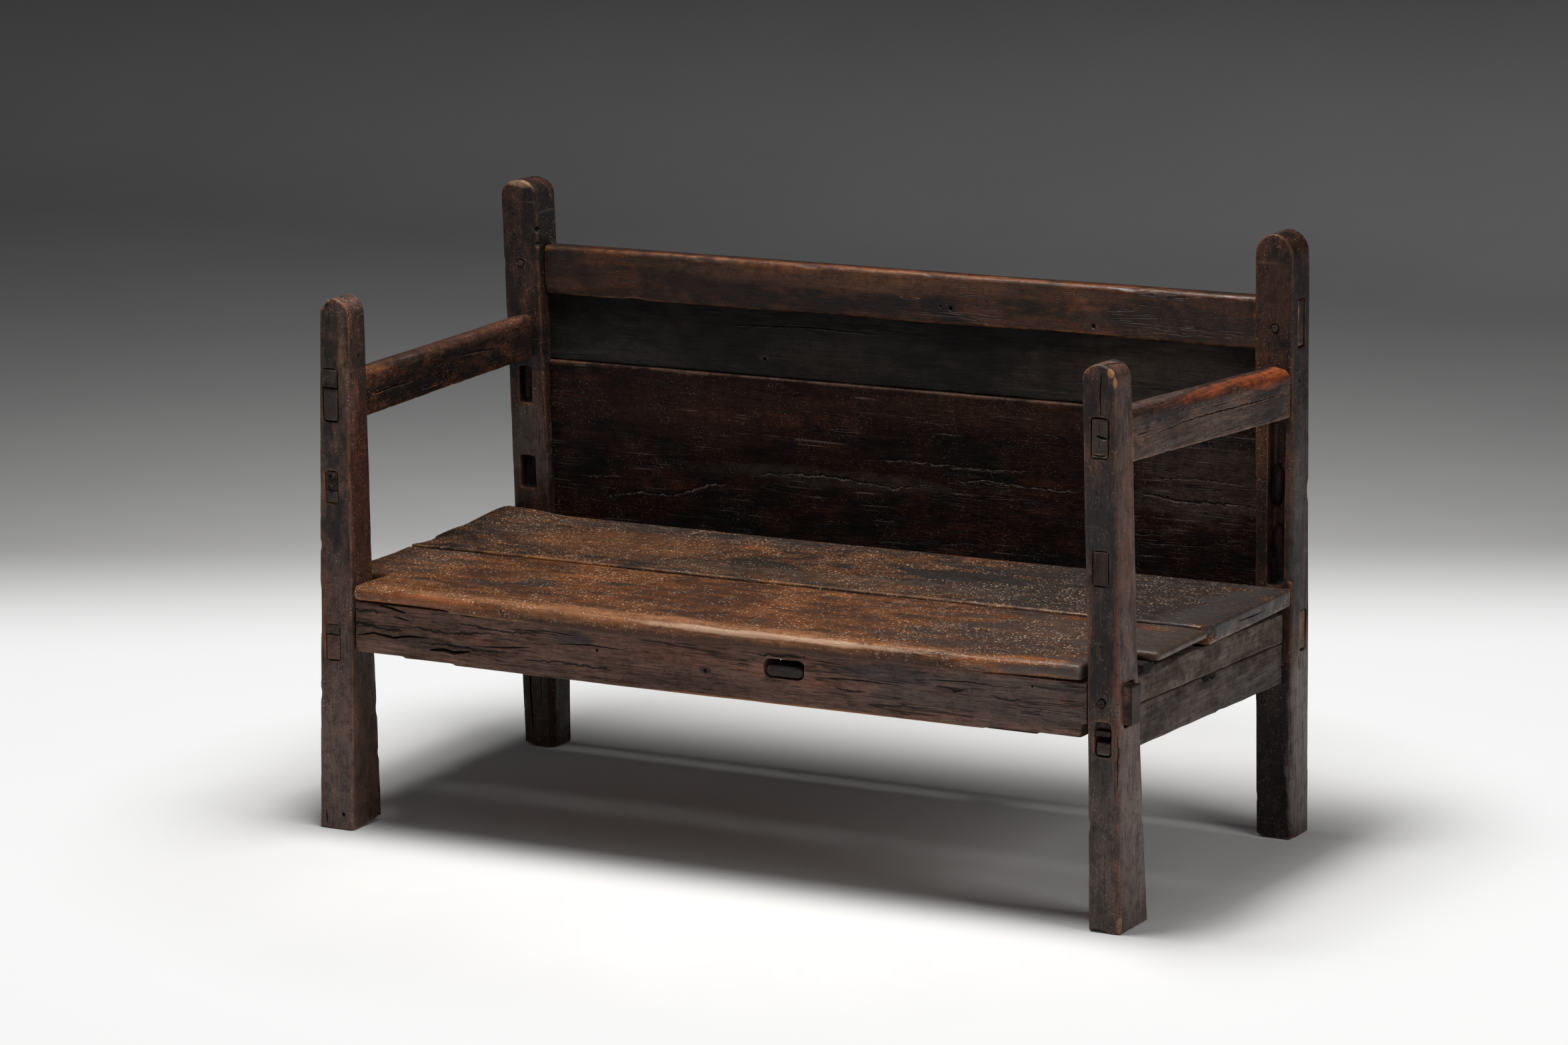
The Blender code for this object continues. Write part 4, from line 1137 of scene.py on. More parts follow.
@dataclass
class Timber:
    """One timber of the bench, as the solid that has its joints, then worn.

    Attributes:
        node: The node that it stands for.
        grain: The axis of its grain.
        finish: Its finish.
        cell: Size of the surface's cells.
        sway: Height of the long waves of its faces.
        waves: Height of the short waves.
        nicks: Number of nicks along its edges.
        rounding: Passes that soften its edges.
        gouges: Larger hollows and broken places.
        splits: Cracks and holes.
        patches: Places of another colour.
        warps: Pulls on its shape.
        swell: Moves of the faces that point the same way, against the loss from wear.
        fills: Blocks that close a mortise round a tenon's end, or thicken an edge where it sags.
    """

    node: str
    grain: Grain
    finish: WoodFinish
    cell: float
    sway: float = 0.0020
    waves: float = 0.0009
    nicks: int = 14
    rounding: int = 2
    gouges: tuple[Gouge, ...] = ()
    splits: tuple[Crack | Hole, ...] = ()
    patches: tuple[Patch, ...] = ()
    warps: tuple[Warp, ...] = ()
    swell: tuple[Point, ...] = ()
    fills: tuple[Block, ...] = ()
    seed: int = field(init=False)

    def __post_init__(self) -> None:
        """Takes the seed of its marks from its name."""
        self.seed = sum(ord(letter) * (place + 3) for place, letter in enumerate(self.node)) % 997

    def build(self) -> None:
        """Makes the piece that stands for the node, and gives it its finish."""
        piece = self.solid()
        for move in self.swell:
            way = Vector(move).normalized()
            select_faces(piece, lambda centre, normal: normal.dot(way) > SAME_WAY)
            bpy.ops.transform.translate(value=move)
            bpy.ops.object.mode_set(mode="OBJECT")
        for gouge in (*self.gouges, *self.edge_nicks(piece)):
            cut(piece, [gouge.cutter()])
        join([piece, *(box("fill", low, high) for low, high in self.fills)], piece.name)
        apply(piece, "REMESH", mode="VOXEL", voxel_size=self.cell, use_smooth_shade=True)
        apply(piece, "SMOOTH", factor=0.5, iterations=self.rounding)
        self.weather(piece)
        for warp in self.warps:
            warp.pull(piece)
        self.dress(piece)
        cut(piece, [split.cutter() for split in self.splits if split.depth], self.finish.inside())
        choose(piece)
        bpy.ops.object.shade_smooth_by_angle(angle=SMOOTH_ANGLE)

    def solid(self) -> bpy.types.Object:
        """Copies the node's solid, with its mortises and tenons, and merges its points.

        Returns:
            The copy.
        """
        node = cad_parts[self.node]
        piece = bpy.data.objects.new(f"worn_{self.node}", node.data.copy())
        bpy.context.scene.collection.objects.link(piece)
        piece.data.materials.clear()
        select_faces(piece, lambda centre, normal: True)
        bpy.ops.mesh.select_all(action="SELECT")
        bpy.ops.mesh.remove_doubles(threshold=MERGE_DISTANCE)
        bpy.ops.mesh.dissolve_limited(angle_limit=FLAT_ANGLE)
        bpy.ops.object.mode_set(mode="OBJECT")
        return piece

    def edge_nicks(self, piece: bpy.types.Object) -> list[Gouge]:
        """Scatters nicks along the long sharp edges.

        Args:
            piece: The unworn solid.

        Returns:
            The nicks, each turned along its edge.
        """
        mesh = bmesh.new()
        mesh.from_mesh(piece.data)
        whole = (edge for edge in mesh.edges if len(edge.link_faces) == 2)
        long = (edge for edge in whole if edge.calc_length() > LONG_EDGE)
        sharp = [edge for edge in long if edge.calc_face_angle_signed(0) > SHARP_EDGE]
        lengths = [edge.calc_length() for edge in sharp]
        chance = random.Random(self.seed)
        made: list[Gouge] = []
        for _ in range(self.nicks if sharp else 0):
            edge = chance.choices(sharp, lengths)[0]
            start, end = (vertex.co.copy() for vertex in edge.verts)
            at = start.lerp(end, chance.uniform(0.02, 0.98))
            out = (edge.link_faces[0].normal + edge.link_faces[1].normal).normalized()
            size = chance.uniform(*NICK_SIZES)
            way = (end - start).to_track_quat("X", "Z").to_euler()
            centre = at + out * size * chance.uniform(*NICK_OFFSETS)
            radii = (size * chance.uniform(*NICK_LENGTHS), size, size)
            made.append(Gouge(tuple(centre), radii, tuple(math.degrees(angle) for angle in way)))
        mesh.free()
        return made

    def weather(self, piece: bpy.types.Object) -> None:
        """Gives the faces their waves, inwards from the solid's faces.

        Args:
            piece: The mesh object.
        """
        for name, size, stretch, height, level in (
            ("sway", 0.22, 2.5, self.sway, 0.92),
            ("waves", 0.030, 5.0, self.waves, 0.75),
            ("ridges", 0.0075, 12.0, self.waves * 0.5, 0.6),
        ):
            deselect()
            bpy.ops.object.empty_add(location=(self.seed * 0.013, self.seed * 0.007, self.seed * 0.011))
            guide = bpy.context.object
            guide.scale = [size * (stretch if axis == self.grain.value else 1) for axis in range(3)]
            bpy.context.view_layer.update()
            clouds = bpy.data.textures.new(f"{name}_{self.node}", "CLOUDS")
            clouds.noise_scale = 1.0
            clouds.noise_depth = 2
            apply(
                piece, "DISPLACE", texture=clouds, texture_coords="OBJECT", texture_coords_object=guide,
                strength=height, mid_level=level,
            )
            bpy.data.objects.remove(guide, do_unlink=True)

    def dress(self, piece: bpy.types.Object) -> None:
        """Gives the piece its material, and its place on the bench.

        Args:
            piece: The mesh object.
        """
        name = f"{self.node}_wood"
        wood = self.finish.material(name, self.grain, self.patches, self.splits, self.seed / 37)
        piece.data.materials.clear()
        piece.data.materials.append(wood)
        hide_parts(self.node)
        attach(piece, "root")
        log.info("%s: %d faces", piece.name, len(piece.data.polygons))


class Assembly:
    """A group of timbers."""

    def timbers(self) -> list[Timber]:
        """Lists the timbers."""
        raise NotImplementedError

    def build(self) -> None:
        """Makes the timbers, one after the other."""
        for timber in self.timbers():
            timber.build()


@dataclass
class Posts(Assembly):
    """The four posts, with their broken heads, chipped feet and splits.

    Attributes:
        cell: Size of the surface's cells.
    """

    cell: float = 0.0026

    def timbers(self) -> list[Timber]:
        """Lists the posts."""
        return [self.front_left(), self.front_right(), self.rear_left(), self.rear_right()]

    def front_left(self) -> Timber:
        """The front left post: a broken head, worn corners and a foot that has lost its back."""
        front = Face(FRONT, -0.343)
        inner = Face(RIGHT, -0.618, 0.012)
        return Timber(
            "front_left_post", Grain.ALONG_Z, POST, cell=self.cell, nicks=26,
            gouges=(
                Gouge((-0.67, -0.343, 0.846), (0.016, 0.01, 0.008), (0, 25, 0)),
                Gouge((-0.655, -0.345, 0.853), (0.012, 0.009, 0.006)),
                Gouge((-0.676, -0.343, 0.803), (0.0035, 0.01, 0.03)),
                Gouge((-0.679, -0.343, 0.56), (0.0032, 0.008, 0.036)),
                Gouge((-0.628, -0.344, 0.47), (0.005, 0.004, 0.09)),
                Gouge((-0.628, -0.344, 0.24), (0.004, 0.004, 0.15)),
                Gouge((-0.624, -0.344, 0.79), (0.009, 0.006, 0.06)),
                Gouge((-0.692, -0.343, 0.075), (0.003, 0.01, 0.06)),
            ),
            splits=(
                Crack(
                    (
                        (-0.646, -0.33, 0.853), (-0.633, -0.318, 0.849), (-0.624, -0.314, 0.838),
                        (-0.62, -0.312, 0.812),
                    ),
                    0.0018, 0, (0.7, 0, 0.7),
                ),
                front.line(0.0014, (-0.668, 0.7395), (-0.654, 0.7402), (-0.638, 0.7393)),
                front.line(0.0014, (-0.668, 0.6565), (-0.652, 0.6562), (-0.638, 0.657)),
                front.line(0.0012, (-0.671, 0.275), (-0.656, 0.2746), (-0.644, 0.2752)),
                front.crack(0.0027, 0.006, (-0.678, 0.03), (-0.676, 0.008)),
                front.hole(-0.645, 0.026, 0.0035, 0.008),
                Hole((-0.621, -0.312, 0.76), RIGHT, 0.003, 0.008),
                Hole((-0.622, -0.29, 0.4), RIGHT, 0.002),
            ),
            patches=(
                Patch((-0.689, -0.34, 0.805), (0.015, 0.04, 0.055), (0.38, 0.105, 0.032), 0.85),
                Patch((-0.668, -0.345, 0.85), (0.018, 0.014, 0.006), STRAW, 0.7, True),
                front.patch((-0.629, 0.745), (0.012, 0.055), (0.22, 0.125, 0.065), 0.6),
                Patch((-0.63, -0.343, 0.25), (0.01, 0.03, 0.16), (0.14, 0.08, 0.055), 0.35),
                Patch((-0.655, -0.343, 0.705), (0.03, 0.01, 0.05), (0.05, 0.04, 0.035), 0.5),
                Patch((-0.652, -0.343, 0.12), (0.05, 0.03, 0.22), (0.16, 0.105, 0.086), 0.6),
                Patch((-0.626, -0.29, 0.1), (0.02, 0.06, 0.26), (0.12, 0.062, 0.036), 0.5),
                # The inner side: darker red-brown, partly its colour and partly painted shade
                inner.patch((-0.3, 0.56), (0.06, 0.19), (0.056, 0.014, 0.007), 0.9),
                inner.patch((-0.3, 0.3), (0.06, 0.2), (0.06, 0.028, 0.018), 0.7),
                inner.patch((-0.3, 0.78), (0.06, 0.09), (0.03, 0.018, 0.014), 0.6),
            ),
        )

    def front_right(self) -> Timber:
        """The front right post: split from its head down to the arm, and full of beetle holes below."""
        front = Face(FRONT, -0.343)
        return Timber(
            "front_right_post", Grain.ALONG_Z, POST, cell=self.cell, nicks=26,
            gouges=(
                Gouge((0.695, -0.345, 0.835), (0.01, 0.006, 0.008), (0, 40, 0)),
                Gouge((0.697, -0.344, 0.78), (0.0045, 0.005, 0.045)),
                Gouge((0.698, -0.344, 0.64), (0.004, 0.005, 0.07)),
                Gouge((0.702, -0.344, 0.33), (0.0045, 0.005, 0.05)),
                Gouge((0.709, -0.344, 0.03), (0.008, 0.008, 0.03)),
                Gouge((0.668, -0.343, 0.0), (0.016, 0.006, 0.004)),
                Gouge((0.709, -0.27, 0.3), (0.004, 0.012, 0.01)),
            ),
            splits=(
                Crack(
                    (
                        (0.6715, -0.346, 0.836), (0.67, -0.343, 0.815), (0.669, -0.343, 0.795),
                        (0.6705, -0.343, 0.77),
                    ),
                    0.0024, 0.012, FRONT,
                ),
                Crack(((0.673, -0.335, 0.846), (0.676, -0.315, 0.846), (0.68, -0.292, 0.845)), 0.0024, 0.008,
                      UP),
                front.line(0.0014, (0.6838, 0.768), (0.6838, 0.74), (0.6838, 0.706)),
                front.line(0.0016, (0.653, 0.7065), (0.668, 0.7058), (0.684, 0.7068)),
                front.line(0.0012, (0.6592, 0.572), (0.6592, 0.545), (0.6592, 0.52)),
                front.line(0.0012, (0.659, 0.5198), (0.671, 0.5195), (0.684, 0.52)),
                front.crack(0.0014, 0.006, (0.6995, 0.3), (0.7005, 0.26), (0.7, 0.22)),
                front.hole(0.69, 0.52, 0.0015),
                front.hole(0.672, 0.43, 0.0018),
            ),
            patches=(
                Patch((0.686, -0.345, 0.834), (0.006, 0.01, 0.008), (0.42, 0.19, 0.085), 0.8, True),
                Patch((0.693, -0.345, 0.82), (0.004, 0.01, 0.01), (0.42, 0.19, 0.085), 0.8, True),
                Patch((0.643, -0.345, 0.837), (0.005, 0.01, 0.007), STRAW, 0.8, True),
                Patch((0.702, -0.315, 0.826), (0.012, 0.03, 0.024), (0.24, 0.09, 0.036), 0.7),
                Patch((0.7, -0.272, 0.838), (0.01, 0.012, 0.006), ORANGE, 0.8, True),
                Patch((0.7, -0.344, 0.775), (0.0045, 0.008, 0.04), (0.42, 0.16, 0.055), 0.9),
                Patch((0.701, -0.343, 0.33), (0.009, 0.014, 0.2), (0.13, 0.045, 0.028), 0.8),
                Patch((0.702, -0.344, 0.6), (0.0035, 0.006, 0.1), (0.3, 0.13, 0.06), 0.7),
                front.patch((0.668, 0.6), (0.03, 0.13), (0.042, 0.036, 0.037), 0.6),
                Patch((0.707, -0.343, 0.02), (0.012, 0.012, 0.03), STRAW, 0.85),
                # Pale grey low on the right side: worn wood, lightened further as painted light from the
                # floor
                Patch((0.7, -0.29, 0.12), (0.03, 0.07, 0.24), (0.18, 0.13, 0.115), 0.75),
                Patch((0.705, -0.3, 0.6), (0.014, 0.06, 0.21), (0.125, 0.05, 0.026), 0.85),
                front.patch((0.676, 0.1), (0.05, 0.22), (0.075, 0.058, 0.05), 0.6),
            ),
        )

    def rear_left(self) -> Timber:
        """The rear left post: two crescent notches in its edge and a long shake in its leg."""
        front = Face(FRONT, 0.277)
        return Timber(
            "rear_left_post", Grain.ALONG_Z, REAR_POST, cell=self.cell, nicks=24,
            gouges=(
                Gouge((-0.646, 0.277, 0.881), (0.006, 0.012, 0.0035)),
                Gouge((-0.645, 0.277, 0.857), (0.006, 0.012, 0.0035)),
                Gouge((-0.69, 0.275, 0.962), (0.014, 0.006, 0.007)),
                Gouge((-0.646, 0.278, 0.93), (0.004, 0.007, 0.024)),
                Gouge((-0.689, 0.277, 0.0), (0.022, 0.014, 0.005)),
                Gouge((-0.668, 0.276, 0.535), (0.012, 0.003, 0.05)),
            ),
            splits=(
                front.crack(0.0035, 0.014, (-0.671, 0.24), (-0.672, 0.1), (-0.668, 0.034), (-0.667, 0.006)),
                front.crack(0.0019, 0.006, (-0.652, 0.14), (-0.651, 0.06)),
                front.hole(-0.69, 0.87, 0.0022),
                front.hole(-0.694, 0.84, 0.0018),
                front.hole(-0.68, 0.79, 0.0016),
                front.hole(-0.693, 0.905, 0.0016),
            ),
            patches=(
                Patch((-0.644, 0.277, 0.935), (0.004, 0.01, 0.024), ORANGE, 0.35),
                # Painted shade: the inner side of the head, near-black
                Patch((-0.638, 0.312, 0.88), (0.018, 0.05, 0.14), (0.006, 0.004, 0.0035), 0.95),
                Patch((-0.68, 0.277, 0.958), (0.03, 0.01, 0.01), STRAW, 0.6),
                front.patch((-0.67, 0.52), (0.05, 0.1), (0.085, 0.06, 0.048), 0.6),
                front.patch((-0.655, 0.14), (0.05, 0.2), (0.075, 0.046, 0.034), 0.5),
                # Painted shade: the inner side of the leg, near-black
                Patch((-0.628, 0.3, 0.14), (0.02, 0.03, 0.2), SOOT_AND_SHADE, 0.6),
            ),
        )

    def rear_right(self) -> Timber:
        """The rear right post: a long empty mortise, a chamfered edge and a dark leg."""
        front = Face(FRONT, 0.277, 0.012)
        side = Face(RIGHT, 0.7085, 0.01)
        return Timber(
            "rear_right_post", Grain.ALONG_Z, REAR_POST, cell=self.cell, nicks=20,
            gouges=(
                Gouge((0.65, 0.277, 0.0), (0.018, 0.012, 0.005)),
                Gouge((0.676, 0.3, 0.56), (0.011, 0.01, 0.035)),
                Gouge((0.68, 0.3, 0.47), (0.012, 0.01, 0.03)),
                Gouge((0.716, 0.31, 0.283), (0.005, 0.01, 0.02)),
            ),
            splits=(
                side.hole(0.307, 0.727, 0.0028, 0.01),
                side.hole(0.306, 0.692, 0.0022, 0.01),
            ),
            patches=(
                Patch((0.675, 0.277, 0.86), (0.04, 0.02, 0.07), (0.06, 0.024, 0.014), 0.6),
                front.patch((0.69, 0.1), (0.09, 0.25), (0.014, 0.011, 0.011), 0.85),
                # The right side, from the foot up: pale grey worn wood lightened further as painted light
                # from the floor, then grey, then near-black painted shade
                Patch((0.712, 0.32, 0.15), (0.01, 0.06, 0.22), (0.165, 0.142, 0.13), 0.9),
                Patch((0.708, 0.32, 0.5), (0.01, 0.06, 0.2), (0.06, 0.055, 0.054), 0.7),
                Patch((0.708, 0.32, 0.82), (0.01, 0.06, 0.17), (0.011, 0.008, 0.007), 0.9),
                front.patch((0.69, 0.53), (0.012, 0.14), (0.06, 0.026, 0.018), 0.6),
            ),
        )


@dataclass
class SeatFrame(Assembly):
    """The rails and battens under the seat.

    Attributes:
        face: Y of the front rail's face.
    """

    face: float = -0.337

    def timbers(self) -> list[Timber]:
        """Lists the rails, the bearer and the packing strip."""
        tenon_end = (mortise_block(-0.6708, -0.6446, 0.2752, 0.3174),)
        return [
            self.front_rail(),
            self.right_rail(),
            self.strip(),
            self.bearer(),
            Timber("rear_seat_rail", Grain.ALONG_X, RAIL, cell=0.0036, nicks=8),
            Timber("left_side_rail", Grain.ALONG_Y, RAIL, cell=0.003, nicks=8, fills=tenon_end),
        ]

    def bearer(self) -> Timber:
        """The bearer, whose dark end shows in the front rail's slot."""
        return Timber(
            "middle_seat_bearer", Grain.ALONG_Y, RAIL, cell=0.0024, nicks=4, sway=0.0006, waves=0.0006,
            rounding=1,
            swell=((0, 0, 0.0008), (0, 0, -0.0006)),
            patches=(Patch((0.145, -0.335, 0.35), (0.06, 0.1, 0.06), (0.024, 0.023, 0.023), 0.9, True),),
        )

    def right_rail(self) -> Timber:
        """The right side rail, with the gap broken out of its top."""
        side = Face(RIGHT, 0.698)
        return Timber(
            "right_side_rail", Grain.ALONG_Y, SIDE_RAIL, cell=0.0028, nicks=10, waves=0.0006,
            gouges=(
                Gouge((0.7, -0.01, 0.327), (0.014, 0.022, 0.012), (14, 0, 0)),
                Gouge((0.7, 0.014, 0.323), (0.012, 0.016, 0.008), (20, 0, 0)),
            ),
            splits=(
                side.hole(-0.215, 0.318, 0.0018),
                side.hole(-0.205, 0.296, 0.0015),
            ),
            patches=(
                Patch((0.7, -0.006, 0.315), (0.02, 0.045, 0.016), SOOT_AND_SHADE, 0.8),
                Patch((0.7, 0.22, 0.27), (0.02, 0.16, 0.03), (0.105, 0.095, 0.092), 0.6),
            ),
        )

    def strip(self) -> Timber:
        """The packing strip, whose upper edge stands back under the seat, with painted shade on its top under
        the seat's notch.
        """
        return Timber(
            "right_packing_strip", Grain.ALONG_Y, STRIP, cell=0.0026, nicks=6, sway=0.0012, waves=0.0004,
            rounding=1,
            swell=((0, 0, 0.0004),),
            gouges=(Gouge((0.704, -0.2, 0.378), (0.016, 0.2, 0.014), (3, 0, 0)),),
            # Painted shade: the top under the seat's notch, near-black
            patches=(Patch((0.678, -0.22, 0.382), (0.05, 0.08, 0.014), SOOT_AND_SHADE, 0.95, True),),
            fills=(((0.659, -0.2425, 0.366), (0.696, -0.202, 0.387)),),
        )

    def front_rail(self) -> Timber:
        """The front rail, with the splits, hollows and nail holes of its face."""
        front = Face(FRONT, self.face)
        return Timber(
            "front_seat_rail", Grain.ALONG_X, RAIL, cell=0.0028, sway=0.003, waves=0.0016, nicks=30,
            gouges=(
                Gouge((-0.35, self.face - 0.002, 0.332), (0.06, 0.0045, 0.006), (0, 4, 0)),
                Gouge((-0.46, self.face - 0.002, 0.326), (0.045, 0.0045, 0.004), (0, 8, 0)),
                Gouge((0.18, self.face - 0.001, 0.352), (0.03, 0.004, 0.005)),
                Gouge((0.42, self.face - 0.001, 0.34), (0.045, 0.004, 0.004), (0, 4, 0)),
            ),
            fills=stepped_blocks(
                (-0.616, -0.53, -0.44, -0.31, 0.48, 0.57, 0.64),
                (0.2895, 0.2872, 0.2852, 0.2838, 0.2855, 0.2868),
                front=-0.3366, back=-0.281, top=0.312,
            ),
            splits=(
                front.crack(
                    0.0035, 0.01, (-0.575, 0.371), (-0.552, 0.368), (-0.538, 0.365), (-0.524, 0.363),
                ),
                front.crack(0.0024, 0.008, (-0.549, 0.354), (-0.535, 0.353), (-0.52, 0.35)),
                front.crack(0.0034, 0.014, (-0.619, 0.318), (-0.585, 0.325), (-0.548, 0.321), (-0.521, 0.326),
                            (-0.48, 0.327)),
                front.crack(
                    0.0057, 0.016, (-0.484, 0.308), (-0.456, 0.311), (-0.438, 0.308), (-0.408, 0.313),
                ),
                front.crack(0.0019, 0.007, (-0.4, 0.322), (-0.35, 0.325), (-0.3, 0.33)),
                front.crack(0.0016, 0.006, (-0.25, 0.341), (-0.19, 0.345), (-0.13, 0.343)),
                front.crack(0.0014, 0.006, (-0.33, 0.356), (-0.27, 0.359), (-0.215, 0.357)),
                front.crack(0.0016, 0.006, (0.2, 0.335), (0.28, 0.338), (0.345, 0.336)),
                front.crack(0.0014, 0.006, (0.38, 0.35), (0.45, 0.354), (0.52, 0.352)),
                front.line(0.003, (-0.64, 0.336), (-0.6, 0.338), (-0.56, 0.333), (-0.53, 0.335)),
                front.line(0.003, (-0.52, 0.342), (-0.46, 0.338), (-0.41, 0.341), (-0.36, 0.346)),
                front.line(0.0026, (-0.505, 0.318), (-0.45, 0.32), (-0.4, 0.316), (-0.33, 0.318)),
                front.line(0.0022, (-0.64, 0.362), (-0.6, 0.359), (-0.56, 0.36)),
                front.line(0.0024, (-0.43, 0.356), (-0.36, 0.351), (-0.28, 0.352)),
                front.line(0.0026, (-0.31, 0.31), (-0.24, 0.313), (-0.15, 0.309)),
                front.line(0.003, (0.1, 0.36), (0.14, 0.363), (0.185, 0.364)),
                front.line(0.0026, (0.235, 0.321), (0.262, 0.319), (0.285, 0.322)),
                front.line(0.0034, (0.4, 0.343), (0.428, 0.34), (0.455, 0.341)),
                front.line(0.0022, (0.49, 0.336), (0.52, 0.334), (0.545, 0.336)),
                front.hole(0.01, 0.326, 0.0034),
                front.hole(-0.179, 0.338, 0.0024),
                front.hole(0.559, 0.358, 0.0028),
                front.hole(-0.06, 0.318, 0.0016),
            ),
            patches=(
                Patch((0.01, self.face, 0.326), (0.016, 0.01, 0.01), SOOT_AND_SHADE, 0.7),
                front.patch((0.05, 0.305), (0.25, 0.014), (0.1, 0.055, 0.036), 0.5),
                front.patch((-0.45, 0.318), (0.16, 0.014), (0.032, 0.024, 0.022), 0.6),
                front.patch((0.48, 0.335), (0.24, 0.05), (0.112, 0.094, 0.09), 0.62),
                front.patch((-0.02, 0.345), (0.11, 0.022), (0.23, 0.098, 0.06), 0.5),
                front.patch((-0.215, 0.352), (0.045, 0.012), (0.045, 0.043, 0.046), 0.75, True),
                front.patch((0.335, 0.352), (0.1, 0.014), (0.075, 0.068, 0.07), 0.55),
                Patch((0.22, self.face + 0.004, 0.285), (0.36, 0.014, 0.004), (0.4, 0.15, 0.06), 0.6, True),
                Patch((0.716, -0.3, 0.345), (0.02, 0.06, 0.08), (0.034, 0.026, 0.023), 0.9, True),
            ),
        )


class Arms(Assembly):
    """The two arms, polished on top and cracked along their sides."""

    def timbers(self) -> list[Timber]:
        """Lists the arms."""
        return [self.left(), self.right()]

    def left(self) -> Timber:
        """The left arm, with painted shade on its inner side."""
        return Timber(
            "left_arm", Grain.ALONG_Y, ARM, cell=0.0024, nicks=18, rounding=5,
            fills=(mortise_block(-0.6672, -0.6386, 0.6568, 0.7112),),
            gouges=(
                Gouge((-0.632, 0.02, 0.742), (0.006, 0.03, 0.008)),
                Gouge((-0.63, -0.2, 0.733), (0.006, 0.02, 0.006)),
            ),
            splits=(
                Crack(((-0.632, -0.262, 0.69), (-0.632, -0.193, 0.692), (-0.632, -0.128, 0.691)), 0.0032,
                      0.009, RIGHT),
                Crack(((-0.637, 0.016, 0.708), (-0.639, 0.089, 0.706), (-0.641, 0.171, 0.697)), 0.0024, 0.008,
                      RIGHT),
                Crack(((-0.634, -0.1, 0.672), (-0.636, -0.02, 0.674)), 0.0016, 0.006, RIGHT),
            ),
            patches=(
                # Painted shade: the inner side, near-black
                Patch((-0.628, 0.0, 0.688), (0.03, 0.36, 0.04), (0.013, 0.008, 0.007), 0.95),
                Patch((-0.655, -0.345, 0.685), (0.06, 0.02, 0.08), (0.03, 0.021, 0.017), 0.9, True),
                Patch((-0.65, 0.05, 0.738), (0.022, 0.2, 0.02), (0.11, 0.046, 0.03), 0.45),
            ),
        )

    def right(self) -> Timber:
        """The right arm, rubbed to orange along its outer edge."""
        side = Face(RIGHT, 0.698)
        front = Face(FRONT, -0.342)
        return Timber(
            "right_arm", Grain.ALONG_Y, ARM, cell=0.0024, nicks=12, rounding=5,
            fills=(mortise_block(0.6542, 0.6828, 0.7068, 0.7672),),
            splits=(
                Crack(
                    (
                        (0.698, -0.276, 0.716), (0.698, -0.2, 0.724), (0.698, -0.107, 0.727),
                        (0.699, -0.03, 0.725), (0.699, 0.043, 0.722), (0.7, 0.159, 0.717),
                        (0.7, 0.262, 0.713),
                    ),
                    0.002, 0.009, RIGHT, 0.0016,
                ),
                side.crack(0.0024, 0.006, (-0.268, 0.733), (-0.23, 0.731)),
                side.crack(0.0014, 0.005, (-0.02, 0.735), (0.06, 0.731)),
                front.crack(0.005, 0.006, (0.664, 0.741), (0.671, 0.739), (0.681, 0.737), jitter=0.0008),
                front.crack(0.0026, 0.004, (0.657, 0.713), (0.668, 0.711), (0.68, 0.713), jitter=0.0008),
                front.line(0.001, (0.668, 0.765), (0.669, 0.75), (0.667, 0.72)),
                side.hole(-0.1, 0.705, 0.0012),
                side.hole(0.1, 0.7, 0.0012),
            ),
            patches=(
                Patch((0.672, -0.345, 0.738), (0.06, 0.02, 0.08), (0.048, 0.035, 0.028), 0.85, True),
                Patch((0.668, -0.345, 0.711), (0.014, 0.006, 0.005), STRAW, 0.4, True),
                side.patch((0.03, 0.763), (0.2, 0.02), (0.26, 0.062, 0.018), 0.85),
                Patch((0.698, 0.21, 0.752), (0.022, 0.16, 0.024), (0.36, 0.085, 0.02), 0.9),
                Patch((0.7, -0.14, 0.768), (0.012, 0.14, 0.01), (0.3, 0.085, 0.03), 0.7),
                Patch((0.674, -0.12, 0.772), (0.02, 0.2, 0.012), (0.125, 0.085, 0.072), 0.7),
                Patch((0.699, -0.05, 0.706), (0.01, 0.3, 0.03), (0.115, 0.058, 0.036), 0.7),
            ),
        )


